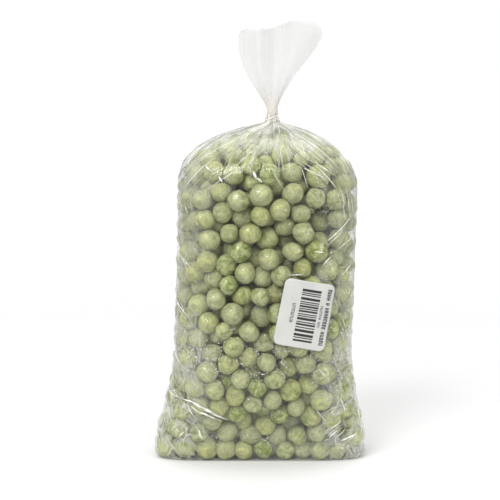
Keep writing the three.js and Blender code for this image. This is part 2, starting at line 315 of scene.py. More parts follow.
def top_up(at, radius, count, space, rise, seed):
    """A few more peas in the room that is left in a space, among those that lie there already."""
    random = np.random.default_rng(seed)
    more_radius = PEA_RADIUS * random.uniform(0.8, 1.06, count)
    more = random.uniform(*space, (count, 3))
    near = ((at > np.array(space[0]) - 14) & (at < np.array(space[1]) + 14)).all(1)
    for _ in range(SETTLING_STEPS):
        both = np.vstack([more, at[near]])
        sizes = np.concatenate([more_radius, radius[near]])
        more += push_apart(both, sizes)[:count] * 1.4
        more[:, 2] -= 0.05
        distance, inward = wall(more, rise)
        more += inward * np.clip(more_radius - distance, 0, 3)[:, None]
        more[:, 2] = np.maximum(more[:, 2], more_radius)
    apart = np.linalg.norm(more[:, None] - at[None], axis=2) - more_radius[:, None] - radius[None]
    inside = wall(more, rise)[0] > more_radius - 0.6
    kept = inside & (apart.min(1) > -2.2) & (more[:, 2] < SHOULDER_Z + rise - 4)
    return np.vstack([at, more[kept]]), np.concatenate([radius, more_radius[kept]])


pea_at, pea_radius = settle_peas()
pea_at, pea_radius = top_up(pea_at, pea_radius, 110, DOME_SPACE, 27.0, 29)
for space in FOOT_ENDS:
    pea_at, pea_radius = top_up(pea_at, pea_radius, 40, space, 27.0, 5)
    print("with the foot's end:", len(pea_at), "peas")
pea_radius *= SOFTNESS
filled = 4 / 3 * math.pi * float((pea_radius**3).sum()) / 1000
print(len(pea_at), "peas fill", round(filled), "cubic cm, top at", pea_at[:, 2].max().round(1), "mm")

# %% [markdown]
# ## Skin of a pea
# Shelled peas aren't one green. Some are pale sage, some yellowish and a few vivid, and each has
# soft blotches, a paler scar where it hung in the pod and a fine wrinkle. Two random numbers kept
# on each pea choose its hue, and noise that is read in the pea's own coordinates mottles it, so
# no two peas match.

# %% Material of the peas
SAGE = linear(181, 185, 141)
STRAW = linear(184, 187, 124)
LEAF = linear(132, 151, 66)
SCAR = linear(215, 211, 165)


def pea_material():
    material, tree, output = new_material("pea_skin")
    tint = node(tree, "ShaderNodeAttribute", attribute_name="tint").outputs["Fac"]
    fresh = node(tree, "ShaderNodeAttribute", attribute_name="fresh").outputs["Fac"]
    on_pea = node(tree, "ShaderNodeAttribute", attribute_name="on_pea").outputs["Vector"]
    turned = node(tree, "ShaderNodeCombineXYZ", {"X": tint, "Y": fresh, "Z": tint}).outputs[0]
    offset = node(tree, "ShaderNodeVectorMath", {0: turned, 3: 37.0}, operation="SCALE").outputs[0]
    where = node(tree, "ShaderNodeVectorMath", {0: on_pea, 1: offset}, operation="ADD").outputs[0]
    blotch = noise(tree, where, 1.2, Detail=3.0, Distortion=0.8)
    lengthwise = node(tree, "ShaderNodeMapping", {"Vector": where, "Scale": (1.9, 1.9, 0.9)}).outputs[0]
    mottle = noise(tree, lengthwise, 1.0, Detail=4.0, Distortion=0.6)
    spread = calc(tree, "MULTIPLY", calc(tree, "SUBTRACT", blotch, 0.5), 1.6)
    yellow = ramp(tree, calc(tree, "ADD", tint, spread), 0.2, 1.25)
    colour = blend(tree, yellow, SAGE, STRAW)
    patchy = calc(tree, "ADD", fresh, calc(tree, "MULTIPLY", calc(tree, "SUBTRACT", mottle, 0.5), -1.5))
    colour = blend(tree, ramp(tree, patchy, 0.5, 1.0), colour, LEAF)
    height = node(tree, "ShaderNodeSeparateXYZ", {0: on_pea}).outputs["Z"]
    scar = calc(tree, "MULTIPLY", ramp(tree, height, 0.955, 0.985), 0.7)
    colour = blend(tree, scar, colour, SCAR)
    stretched = node(tree, "ShaderNodeMapping", {"Vector": where, "Scale": (5, 5, 1.1)}).outputs[0]
    wrinkle = noise(tree, stretched, 1.0, Detail=3.0, Distortion=0.5)
    cloudy = ramp(tree, mottle, 0.3, 0.7, 0.8, 1.12)
    lightness = calc(tree, "ADD", cloudy, ramp(tree, wrinkle, 0.35, 0.65, -0.14, 0.15))
    colour = node(tree, "ShaderNodeHueSaturation", {"Value": lightness, "Color": colour}).outputs[0]
    bump = node(tree, "ShaderNodeBump", {"Height": wrinkle, "Strength": 0.4, "Distance": 0.0006})
    skin = node(tree, "ShaderNodeBsdfPrincipled", {
        "Base Color": colour,
        "Roughness": ramp(tree, mottle, 0.3, 0.7, 0.45, 0.6),
        "Specular IOR Level": 0.22,
        "Normal": bump.outputs[0],
    })
    tree.links.new(skin.outputs[0], output.inputs["Surface"])
    return material


pea_skin = pea_material()
print("pea skin ready")

# %% [markdown]
# ## The heap of peas
# One pea is a cube rounded to a ball, because its faces are then all alike and there is no pole
# to pinch. Five kinds are made from it, more or less flattened, and some with one cheek pressed in
# as peas in a pod are. Geometry Nodes puts one of them on each settled place with its own size
# and turn, and realizes them into one mesh.

# %% Geometry Nodes tree that grows peas on points
def pea_kind(tree, segments, squeeze, cheek, number):
    """One pea of radius 1: a rounded cube, squeezed along its axes, with one cheek pressed in."""
    cube = node(tree, "GeometryNodeMeshCube", {"Size": (2, 2, 2)})
    for side in ("Vertices X", "Vertices Y", "Vertices Z"):
        tree.links.new(segments, cube.inputs[side])
    place = node(tree, "GeometryNodeInputPosition").outputs[0]
    ball = node(tree, "ShaderNodeVectorMath", {0: place}, operation="NORMALIZE").outputs[0]
    rounded = node(tree, "GeometryNodeSetPosition", {"Geometry": cube.outputs["Mesh"], "Position": ball})
    place = node(tree, "GeometryNodeInputPosition").outputs[0]
    kept = node(tree, "GeometryNodeStoreNamedAttribute", {
        "Geometry": rounded.outputs[0], "Name": "on_pea", "Value": place,
    }, data_type="FLOAT_VECTOR", domain="POINT")
    moved = node(tree, "ShaderNodeVectorMath", {0: place, 1: (7.0 * number, 3.0, 0.0)}, operation="ADD")
    lump = node(tree, "ShaderNodeTexNoise", {"Vector": moved.outputs[0], "Scale": 0.9}).outputs["Fac"]
    lump = ramp(tree, lump, 0.25, 0.75, 0.94, 1.06)
    along = node(tree, "ShaderNodeVectorMath", {0: place, 1: (1, 0, 0)}, operation="DOT_PRODUCT")
    pressed = calc(tree, "MULTIPLY", ramp(tree, along.outputs["Value"], 0.35, 1.0), -cheek)
    shift = node(tree, "ShaderNodeCombineXYZ", {"X": pressed}).outputs[0]
    shaped = node(tree, "ShaderNodeVectorMath", {0: place, 1: shift}, operation="ADD").outputs[0]
    shaped = node(tree, "ShaderNodeVectorMath", {0: shaped, 1: squeeze}, operation="MULTIPLY").outputs[0]
    shaped = node(tree, "ShaderNodeVectorMath", {0: shaped, 3: lump}, operation="SCALE").outputs[0]
    made = node(tree, "GeometryNodeSetPosition", {"Geometry": kept.outputs[0], "Position": shaped})
    soft = node(tree, "GeometryNodeSetShadeSmooth", {"Geometry": made.outputs[0], "Shade Smooth": True})
    return node(tree, "GeometryNodeGeometryToInstance", {"Geometry": soft.outputs[0]}).outputs[0]


PEA_SEGMENTS = 5
PEA_KINDS = [  # how far each axis is squeezed, and how deep a cheek is pressed in
    ((1.0, 0.99, 0.96), 0.05),
    ((1.02, 0.98, 0.88), 0.08),
    ((0.99, 0.95, 0.98), 0.2),
    ((1.04, 0.95, 0.95), 0.04),
    ((1.03, 1.0, 0.84), 0.12),
]


def pea_tree():
    tree, inside, segments = shape_tree(
        "peas_on_points", "Points", "Points along an edge", "NodeSocketInt", PEA_SEGMENTS)
    join = tree.nodes.new("GeometryNodeJoinGeometry")
    for number, (squeeze, cheek) in reversed(list(enumerate(PEA_KINDS))):
        kind = pea_kind(tree, inside.outputs["Points along an edge"], squeeze, cheek, number)
        tree.links.new(kind, join.inputs[0])

    def kept(name, kind):
        return node(tree, "GeometryNodeInputNamedAttribute", {"Name": name}, data_type=kind).outputs[0]

    turn = node(tree, "FunctionNodeEulerToRotation", {0: kept("turn", "FLOAT_VECTOR")}).outputs[0]
    placed = node(tree, "GeometryNodeInstanceOnPoints", {
        "Points": inside.outputs["Points"],
        "Instance": join.outputs[0],
        "Pick Instance": True,
        "Instance Index": kept("kind", "INT"),
        "Rotation": turn,
        "Scale": kept("size", "FLOAT"),
    })
    end_tree(tree, placed.outputs[0], pea_skin)
    return tree, segments


# %% Grow the peas
def grow_peas():
    random = np.random.default_rng(11)
    count = len(pea_at)
    places = mesh_object("pea_places", pea_at, [], pea_skin)
    store(places.data, "size", pea_radius * MM)
    store(places.data, "turn", random.uniform(0, 2 * math.pi, (count, 3)), "FLOAT_VECTOR")
    store(places.data, "tint", random.uniform(0, 1, count))
    store(places.data, "fresh", random.beta(2.2, 3.0, count))
    kinds = places.data.attributes.new("kind", "INT", "POINT")
    kinds.data.foreach_set("value", random.integers(0, len(PEA_KINDS), count).tolist())
    tree, segments = pea_tree()
    return grown_mesh("peas", places, tree, {segments: PEA_SEGMENTS}, pea_skin)


peas = grow_peas()

# %% [markdown]
# ## The film as rings
# The film is one tube, from the foot over the body and the dome, through the neck and out into the
# mouth, so it is lofted: one ring of points for each height, each point the same share of the way
# round on every ring. That keeps the mesh in the direction in which the film is creased, and it
# gives a UV map, round and along, for nothing.

# %% Points of the film tube
AROUND = 320
BODY_RINGS, DOME_RINGS, NECK_RINGS, MOUTH_RINGS = 128, 58, 26, 52
TENT_RISE, TENT_REACH = 2.8, 9.0
DOME_DRIFT = 1.4
NECK_X, NECK_RADIUS, NECK_TOP_Z = 5.9, 2.5, 170.0
TWIST_HEIGHT, TWIST_PITCH, TWIST_RIB, TWIST_FLARE = 4.0, 1.6, 0.3, 1.1
TWIST_STARTS = 4
MOUTH_HEIGHT, MOUTH_LEFT_REACH, MOUTH_RIGHT_REACH = 37.4, 16.0, 24.2
MOUTH_FOLD_DEPTH, MOUTH_HALF_GAP = 3.6, 0.25
MOUTH_LOBE, MOUTH_CROWDING = 4.4, 1.5
TOP_OF_DOME = SHOULDER_Z + DOME_RISE + TENT_RISE
turns = np.arange(AROUND) / AROUND * 2 * math.pi


def even_ring(half_width, half_depth, power):
    """x and y of points spread evenly round a superellipse."""
    fine = np.linspace(0, 2 * math.pi, AROUND * 8 + 1)
    cosine, sine = np.cos(fine), np.sin(fine)
    x = half_width * np.sign(cosine) * np.abs(cosine) ** (2 / power)
    y = half_depth * np.sign(sine) * np.abs(sine) ** (2 / power)
    length = np.concatenate([[0], np.cumsum(np.hypot(np.diff(x), np.diff(y)))])
    wanted = np.arange(AROUND) / AROUND * length[-1]
    return np.interp(wanted, length, x), np.interp(wanted, length, y)


def body_ring(z):
    half_width, half_depth, power, middle = (float(v) for v in body_section(z))
    x, y = even_ring(half_width, half_depth, power)
    return np.stack([middle + x, y, np.full(AROUND, z)], 1)


def dome_ring(share):
    angle = share * math.pi / 2
    wide, deep, _, middle = (float(v) for v in body_section(SHOULDER_Z))
    end = NECK_RADIUS + TWIST_FLARE
    half_width = end + (wide - end) * math.cos(angle)
    half_depth = end + (deep - end) * math.cos(angle)
    tent = TENT_RISE * math.exp(-(half_width - end) / TENT_REACH)
    drift = DOME_DRIFT * math.sin(math.pi * min(share * 1.25, 1))
    middle += (NECK_X - middle) * share**2 - drift
    x, y = even_ring(half_width, half_depth, WAIST_POWER + (2 - WAIST_POWER) * share)
    z = SHOULDER_Z + DOME_RISE * math.sin(angle) + tent
    return np.stack([middle + x, y, np.full(AROUND, z)], 1)


def neck_ring(share):
    z = TOP_OF_DOME + (NECK_TOP_Z - TOP_OF_DOME) * share
    above = z - TOP_OF_DOME
    radius = NECK_RADIUS + TWIST_FLARE * (1 - smooth(above, 0, TWIST_HEIGHT))
    ribbed = TWIST_RIB * (1 - smooth(above, TWIST_HEIGHT * 0.7, TWIST_HEIGHT * 1.2)) * min(share * 4, 1)
    rib = ribbed * np.sin(2 * math.pi * above / TWIST_PITCH - TWIST_STARTS * turns)
    pleats = 0.12 * np.sin(9 * turns + 1.5 * above)
    out = radius + rib + pleats
    return np.stack([NECK_X + out * np.cos(turns), out * np.sin(turns), np.full(AROUND, z)], 1)


def corner(above, wide, tall):
    """How far an elliptic corner has drawn in the edge, at a height above the corner's start."""
    return wide * (1 - math.sqrt(1 - min(max(above / tall, 0), 1) ** 2))


def mouth_ring(share):
    share = 1 - (1 - share) ** MOUTH_CROWDING
    left = math.sin(math.pi / 2 * min(1.3 * share**1.1, 1))
    spread = min(share * 1.2, 1)
    right = 0.5 * spread + 0.5 * float(smooth(spread**1.15, 0, 1))
    left_reach = NECK_RADIUS + (MOUTH_LEFT_REACH - NECK_RADIUS) * left
    right_reach = NECK_RADIUS + (MOUTH_RIGHT_REACH - NECK_RADIUS) * right
    left_reach -= corner(share * MOUTH_HEIGHT - (MOUTH_HEIGHT - 3.2), 3.2, 3.2)
    right_reach -= corner(share * (MOUTH_HEIGHT + MOUTH_LOBE) - (MOUTH_HEIGHT + MOUTH_LOBE - 7.5), 8.5, 7.5)
    gap = NECK_RADIUS + (MOUTH_HALF_GAP - NECK_RADIUS) * float(smooth(share, 0, 0.7))
    across = np.cos(turns)
    x = across * np.where(across < 0, left_reach, right_reach)
    rim = MOUTH_HEIGHT + MOUTH_LOBE * smooth(x / MOUTH_RIGHT_REACH, -0.12, 0.5)
    fold = np.sin(6.4 * across + 0.9) + 0.12 * np.sin(14 * across - 1)
    fine = 0.12 * np.sin(23 * across + 2) * smooth(share, 0.02, 0.1) * (1 - smooth(share, 0.2, 0.5))
    folded = MOUTH_FOLD_DEPTH * float(smooth(share, 0, 0.8)) * fold * (1 - 0.4 * across**2) + fine
    return np.stack([NECK_X + x, folded + gap * np.sin(turns), NECK_TOP_Z + share * rim], 1)


def film_rings():
    """All rings, and the ring numbers at which the dome, the neck and the mouth begin."""
    heights = np.concatenate([[0, 0.3, 0.9, 1.8, 3.2], np.linspace(FOOT_HEIGHT, SHOULDER_Z, BODY_RINGS)])
    rings = [body_ring(z) for z in heights]
    starts = [len(rings)]
    for ring, count in ((dome_ring, DOME_RINGS), (neck_ring, NECK_RINGS), (mouth_ring, MOUTH_RINGS)):
        rings += [ring((i + 1) / count) for i in range(count)]
        starts.append(len(rings))
    return np.array(rings), starts[:3]


smooth_film, (dome_start, neck_start, mouth_start) = film_rings()
print("film rings:", smooth_film.shape[0], "dome from", dome_start, "neck from", neck_start)

# %% [markdown]
# ## The film pulled over the peas
# Thin film under tension touches only the tops of the peas and sags a little between them. That
# is a membrane over bumps, and it can be solved on the grid of rings: each point repeatedly takes
# the mean of its four neighbours, less a little for the pull inwards, and is held up by the pea
# under it. Under the sticker, at the foot and near the neck it is kept taut. A cloth simulation
# does the same, but it takes minutes rather than a second.

# %% Drape the film
FILM_PULL = 0.02
FILM_CLEAR = 0.15
DRAPING_STEPS = 220
DEEPEST_SAG = 0.8
SIDE_SAG = 0.35
DEEPEST = 3.0
LABEL_X, LABEL_Z = 21.0, 74.5
LABEL_TURN = math.radians(11.3)
LABEL_WIDTH, LABEL_HEIGHT, LABEL_CORNER = 25.0, 32.0, 3.0


def grid_normals(grid):
    """Outward normal of each point of a closed tube given as rings."""
    round_way = np.roll(grid, -1, 1) - np.roll(grid, 1, 1)
    up_way = np.gradient(grid, axis=0)
    normal = np.cross(round_way, up_way)
    return normal / np.maximum(np.linalg.norm(normal, axis=2, keepdims=True), 1e-9)


def pea_height(grid, normal):
    """How far above each film point the peas under it reach, along its normal."""
    height = np.full(grid.shape[:2], -DEEPEST)
    for j, (ring, out) in enumerate(zip(grid, normal)):
        near = np.abs(pea_at[:, 2] - ring[:, 2].mean()) < 14
        to_pea = pea_at[near][None] - ring[:, None]
        along = (to_pea * out[:, None]).sum(2)
        aside = (to_pea**2).sum(2) - along**2
        reach = pea_radius[near] ** 2 - aside
        top = np.where((reach > 0) & (along > -14), along + np.sqrt(np.maximum(reach, 0)), -DEEPEST)
        if near.any():
            height[j] = np.maximum(top.max(1), -DEEPEST)
    return height


def under_label(grid):
    """1 under the sticker, 0 a few millimetres beyond it."""
    dx = (grid[..., 0] - LABEL_X) / 0.9
    dz = grid[..., 2] - LABEL_Z
    across = np.abs(dx * math.cos(LABEL_TURN) - dz * math.sin(LABEL_TURN)) - LABEL_WIDTH / 2
    up = np.abs(dx * math.sin(LABEL_TURN) + dz * math.cos(LABEL_TURN)) - LABEL_HEIGHT / 2
    return (1 - smooth(np.maximum(across, up), 0, 3)) * (grid[..., 1] < 0)


def drape(grid):
    normal = grid_normals(grid)
    z = grid[..., 2]
    floor = pea_height(grid, normal) + FILM_CLEAR
    loose = smooth(z, SHOULDER_Z - 4, SHOULDER_Z + 12)
    held = np.maximum(1 - smooth(z, 0, FOOT_HEIGHT), under_label(grid))
    deepest = DEEPEST_SAG - (DEEPEST_SAG - SIDE_SAG) * np.abs(np.cos(turns)) ** 6
    under_dome = 1 - smooth(z, SHOULDER_Z + 8, SHOULDER_Z + 20)
    height = np.zeros(z.shape)
    for _ in range(DRAPING_STEPS):
        around = (np.roll(height, 1, 1) + np.roll(height, -1, 1)) / 4
        above = np.vstack([height[1:], height[-1:]]) / 4
        below = np.vstack([height[:1], height[:-1]]) / 4
        pulled = around + above + below - FILM_PULL * (1 - loose)
        height = np.clip(pulled, np.maximum(floor, -deepest), 1.0) * (1 - held) * under_dome
    return height, floor - FILM_CLEAR, normal


sag, pea_top, film_normal = drape(smooth_film)
print("sag, mm: mean", sag[:dome_start].mean().round(2), "deepest", sag.min().round(2))

# %% [markdown]
# ## Pleats over the dome
# Where the bag is gathered, the spare film stands up in radial pleats. They are the sum of a few
# waves round the dome, uneven in depth, and they die away where the film meets the peas. Long
# shallow buckles run down the sides in the same way.

# %% Raise the pleats
PLEATS = [(13, 0.16, 0.0), (22, 0.1, 1.0), (37, 0.1, 2.0), (61, 0.12, 0.7)]


def pleat_height(grid):
    """Radial pleats over the dome and shallow buckles down the sides."""
    ring = np.arange(grid.shape[0])
    share = (ring - dome_start) / DOME_RINGS
    deep = smooth(share, 0.0, 0.5) * (1 - smooth(share, 0.9, 1.0))
    drift = 0.5 * np.sin(share * 5)[:, None]
    wave = sum(height * np.sin(number * turns + start + drift) for number, height, start in PLEATS)
    uneven = 0.6 + 0.4 * np.sin(3 * turns + 1.0) * np.sin(5 * turns)
    side = np.abs(np.cos(turns)) ** 6
    down = smooth(share, -1.6, -0.6) * (1 - smooth(share, 0.1, 0.4))
    buckle = 0.22 * side * np.sin(29 * turns + 2 * np.sin(share * 3)[:, None])
    return deep[:, None] * wave * uneven + down[:, None] * buckle


pleats = pleat_height(smooth_film)
taut_film = smooth_film + film_normal * (np.maximum(sag, -0.25) + pleats)[..., None]
film_points = smooth_film + film_normal * (sag + pleats)[..., None]
film_points[..., 2] = np.maximum(film_points[..., 2], 0)
print("pleats up to", pleats.max().round(2), "mm")

# %% [markdown]
# ## Where the film is milky
# Wet polythene that lies on a pea is almost invisible, and the pea under it looks fresh and dark.
# Where the film lifts off, a breath of frost and its creases scatter the light and it turns
# white: a little over the front, more down both sides and at the foot, most at the neck. Two
# numbers for each point of the film say how milky it is there, and how far it is off the pea
# under it, and the material thins the veil out where the film touches.

# %% Milkiness of each point
LEFT_HAZE, RIGHT_HAZE, FRONT_HAZE, FOOT_HAZE = 0.28, 0.21, 0.03, 0.06
DOME_HAZE, NECK_HAZE, MOUTH_HAZE = 0.54, 0.92, 0.32
SOFT_FOLDS = [  # x and z of both ends of a wide milky fold, its half width and how milky it is
    (-29.0, 70.0, -29.5, 47.0, 1.3, 0.4),
    (-29.5, 47.0, -34.0, 34.0, 1.2, 0.35),
    (-34.0, 34.0, -36.5, 20.0, 1.4, 0.25),
    (34.0, 58.0, 33.5, 40.0, 1.0, 0.3),
    (33.5, 40.0, 35.0, 22.0, 1.0, 0.4),
    (38.0, 110.0, 37.5, 78.0, 1.0, 0.25),
    (-38.5, 118.0, -37.5, 88.0, 1.1, 0.25),
]


def near_line(x, z, x0, z0, x1, z1):
    """Distance from the line between two points of the front."""
    long = math.hypot(x1 - x0, z1 - z0)
    along = np.clip(((x - x0) * (x1 - x0) + (z - z0) * (z1 - z0)) / long**2, 0, 1)
    return np.hypot(x - x0 - along * (x1 - x0), z - z0 - along * (z1 - z0))


def milkiness(grid):
    """How milky and how gathered the film is at each point, from 0 to 1."""
    x, z = grid[..., 0], grid[..., 2]
    middle = body_section(z)[3]
    ring = np.arange(grid.shape[0])[:, None]
    dome = (ring - dome_start) / DOME_RINGS
    side = smooth(np.abs(x - middle) / WAIST_HALF_WIDTH, 0.45, 0.95)
    low = 1 - smooth(z, 10, 60)
    value = FRONT_HAZE + np.where(x < middle, LEFT_HAZE, RIGHT_HAZE) * side + FOOT_HAZE * low
    for x0, z0, x1, z1, half_width, white in SOFT_FOLDS:
        fold = np.exp(-((near_line(x, z, x0, z0, x1, z1) / half_width) ** 2))
        value = np.maximum(value, white * fold * (grid[..., 1] < 0))
    value += DOME_HAZE * smooth(dome, 0.28, 0.62) + (NECK_HAZE - DOME_HAZE) * smooth(dome, 0.65, 0.95)
    up_mouth = (ring - mouth_start) / MOUTH_RINGS
    value = np.where(ring >= neck_start, NECK_HAZE, value)
    mouth = NECK_HAZE + (MOUTH_HAZE - NECK_HAZE) * smooth(up_mouth, -0.05, 0.3)
    value = np.where(ring >= mouth_start, mouth, value)
    gathered = np.clip(0.03 + 0.5 * side + smooth(dome, -0.3, 0.15) + 0.3 * low * (0.4 + 0.6 * side), 0, 1)
    gathered = np.where(ring >= neck_start, 0.25 - 0.25 * smooth(up_mouth, -0.3, 0.0), gathered)
    return np.clip(value, 0, 0.95), gathered


milk, gathered = milkiness(smooth_film)
lifted = np.where(smooth_film[..., 2] > TOP_OF_DOME, DEEPEST, sag - pea_top)
print("milkiness, front waist:", milk[70, AROUND * 3 // 4].round(2), "side:", milk[70, 0].round(2))
print("share of the body's film that touches:", (lifted[:dome_start] < 0.5).mean().round(2))

# %% [markdown]
# ## Polythene
# The material is three things in one: mostly nothing at all (Transparent), a sharp reflection
# that grows at a slant (Glossy through Fresnel), and a white scatter where the film is milky
# (Diffuse and Translucent). Refraction is left out, because a film this thin doesn't bend the
# view. Stretched noise in the UV map draws the streaks along the pleats, and the edges of
# Voronoi cells, stretched aslant, draw the short crinkles elsewhere.

# %% Material of the film
def aslant(tree, place, turn, long):
    """Places turned by an angle on the front and then drawn out, so that noise runs in strokes."""
    return node(tree, "ShaderNodeMapping", {
        "Vector": place, "Rotation": (0, turn, 0), "Scale": (1.0, 1.0, long),
    }, vector_type="TEXTURE").outputs[0]


def crinkles(tree, place, turn, scale):
    """Short thin lines that run one way over the film, broken by cloudy noise."""
    mapped = aslant(tree, place, turn, 5.0)
    bent = node(tree, "ShaderNodeTexNoise", {"Vector": place, "Scale": 60.0, "Detail": 1.0}).outputs["Color"]
    bent = node(tree, "ShaderNodeVectorMath", {0: bent, 3: 0.003}, operation="SCALE").outputs[0]
    mapped = node(tree, "ShaderNodeVectorMath", {0: mapped, 1: bent}, operation="ADD").outputs[0]
    edge = node(tree, "ShaderNodeTexVoronoi", {
        "Vector": mapped, "Scale": scale,
    }, feature="DISTANCE_TO_EDGE").outputs["Distance"]
    cloud = noise(tree, mapped, scale * 0.7)
    return calc(tree, "MULTIPLY", ramp(tree, edge, 0.0, 0.07, 1.0, 0.0), ramp(tree, cloud, 0.48, 0.62))


def crumpled(tree, place, turn):
    """From -1 to 1: clear and milky strokes that run aslant, as in crumpled film."""
    stroke = noise(tree, aslant(tree, place, turn, 4.0), 470.0, Distortion=0.4)
    return ramp(tree, stroke, 0.36, 0.64, -1.0, 1.0)


FILM_WHITE = (0.87, 0.87, 0.85, 1)
NECK_WHITE = (0.8, 0.77, 0.71, 1)
MOUTH_GREY = (0.8, 0.8, 0.79, 1)


def film_material():
    material, tree, output = new_material("polythene_film")
    around = node(tree, "ShaderNodeUVMap", uv_map="round_and_along").outputs[0]
    milky = node(tree, "ShaderNodeAttribute", attribute_name="milky").outputs["Fac"]
    off_pea = node(tree, "ShaderNodeAttribute", attribute_name="lifted").outputs["Fac"]
    gather = node(tree, "ShaderNodeAttribute", attribute_name="gathered").outputs["Fac"]
    place = node(tree, "ShaderNodeTexCoord").outputs["Object"]
    lines = node(tree, "ShaderNodeMapping", {"Vector": around, "Scale": (380, 9, 1)}).outputs[0]
    streak = noise(tree, lines, 1.0, Detail=2.0)
    bundles = node(tree, "ShaderNodeMapping", {"Vector": around, "Scale": (26, 5, 1)}).outputs[0]
    bundle = noise(tree, bundles, 1.0, Detail=1.0)
    height = node(tree, "ShaderNodeSeparateXYZ", {0: place}).outputs["Z"]
    on_dome = ramp(tree, height, 0.118, 0.142)
    below_mouth = ramp(tree, height, 0.169, 0.178, 1.0, 0.0)
    by_neck = calc(tree, "MULTIPLY", ramp(tree, height, 0.158, 0.164), below_mouth)
    tint = blend(tree, ramp(tree, height, 0.164, 0.175), FILM_WHITE, MOUTH_GREY)
    tint = blend(tree, by_neck, tint, NECK_WHITE)
    calm = ramp(tree, height, 0.16, 0.172, 1.0, 0.06)
    light_through = calc(tree, "SUBTRACT", 0.48, calc(tree, "MULTIPLY", by_neck, 0.3))
    cloud = noise(tree, place, 55.0, Detail=3.0)
    parts = node(tree, "ShaderNodeSeparateXYZ", {0: place})
    mirrored = node(tree, "ShaderNodeCombineXYZ", {
        "X": calc(tree, "ABSOLUTE", parts.outputs["X"]), "Y": parts.outputs["Y"], "Z": parts.outputs["Z"],
    }).outputs[0]
    rising = crinkles(tree, mirrored, 0.8, 260.0)
    falling = crinkles(tree, mirrored, -0.5, 200.0)
    low_down = ramp(tree, height, 0.045, 0.085, 1.15, 0.55)
    under_dome = calc(tree, "SUBTRACT", 1.0, on_dome)
    crinkle = calc(tree, "MULTIPLY", calc(tree, "MAXIMUM", rising, falling), under_dome)
    crinkle = calc(tree, "MULTIPLY", crinkle, low_down)
    fine_line = calc(tree, "MULTIPLY", ramp(tree, streak, 0.52, 0.66), ramp(tree, bundle, 0.42, 0.6))
    fine_line = calc(tree, "MULTIPLY", fine_line, on_dome)
    marks = calc(tree, "MULTIPLY", fine_line, 0.5)
    marks = calc(tree, "MAXIMUM", marks, calc(tree, "MULTIPLY", crinkle, 0.7))
    threads = calc(tree, "MULTIPLY", ramp(tree, streak, 0.4, 0.6, -0.75, 0.65), ramp(tree, bundle, 0.35, 0.6))
    crumple = calc(tree, "MAXIMUM", crumpled(tree, mirrored, 0.85), crumpled(tree, mirrored, -0.4))
    crumple = calc(tree, "MULTIPLY", calc(tree, "SUBTRACT", crumple, 0.35), gather)
    crumple = calc(tree, "MULTIPLY", crumple, low_down)
    threads = node(tree, "ShaderNodeMix", {0: on_dome, 2: crumple, 3: threads}).outputs[0]
    patchy = calc(tree, "ADD", ramp(tree, cloud, 0.35, 0.65, -0.45, 0.4), threads)
    patchy = calc(tree, "ADD", calc(tree, "MULTIPLY", patchy, calm), 1.0)
    haze = calc(tree, "MULTIPLY", milky, patchy)
    ragged = noise(tree, place, 240.0, Detail=2.0)
    off_pea = calc(tree, "ADD", off_pea, calc(tree, "MULTIPLY", calc(tree, "SUBTRACT", ragged, 0.5), 1.6))
    haze = calc(tree, "MULTIPLY", haze, ramp(tree, off_pea, 0.55, 0.9, 0.4, 1.0))
    haze = calc(tree, "ADD", haze, calc(tree, "MULTIPLY", marks, gather))
    haze = node(tree, "ShaderNodeClamp", {"Value": haze, "Max": 0.96}).outputs[0]
    relief = calc(tree, "ADD", fine_line, calc(tree, "MULTIPLY", crinkle, 0.6))
    relief = calc(tree, "MULTIPLY", relief, gather)
    bump = node(tree, "ShaderNodeBump", {"Height": relief, "Strength": 1.0, "Distance": 0.0006}).outputs[0]
    slant = node(tree, "ShaderNodeFresnel", {"IOR": 1.42, "Normal": bump}).outputs[0]
    mirror = node(tree, "ShaderNodeBsdfGlossy", {
        "Color": (1, 1, 1, 1), "Roughness": 0.1, "Normal": bump,
    })
    clear = node(tree, "ShaderNodeBsdfTransparent", {"Color": (0.99, 0.99, 0.985, 1)})
    slant = calc(tree, "MULTIPLY", slant, calm)
    shine = node(tree, "ShaderNodeClamp", {"Value": slant, "Max": 0.5}).outputs[0]
    glassy = node(tree, "ShaderNodeMixShader", {0: shine, 1: clear.outputs[0], 2: mirror.outputs[0]})
    scatter = node(tree, "ShaderNodeBsdfDiffuse", {"Color": tint, "Normal": bump})
    through = node(tree, "ShaderNodeBsdfTranslucent", {"Color": tint, "Normal": bump})
    white_film = node(tree, "ShaderNodeMixShader", {
        0: light_through, 1: scatter.outputs[0], 2: through.outputs[0],
    })
    whole = node(tree, "ShaderNodeMixShader", {0: haze, 1: glassy.outputs[0], 2: white_film.outputs[0]})
    tree.links.new(whole.outputs[0], output.inputs["Surface"])
    return material


polythene = film_material()
print("film material ready")


# %% Make the film's mesh
def tube_faces(ring_count):
    """Quads between the rings, and each end zipped shut from side to side."""
    ring = np.arange(AROUND)
    after = (ring + 1) % AROUND
    faces = []
    for j in range(ring_count - 1):
        low, high = j * AROUND, (j + 1) * AROUND
        faces += np.stack([low + ring, low + after, high + after, high + ring], 1).tolist()
    last = (ring_count - 1) * AROUND
    for i in range(AROUND // 2):
        a, b, c, d = i, i + 1, (AROUND - i - 1) % AROUND, (AROUND - i) % AROUND
        corners = [a, b, c] if i == 0 else [a, b, d] if i == AROUND // 2 - 1 else [a, b, c, d]
        faces.append(corners[::-1])
        faces.append([last + corner for corner in corners])
    return faces


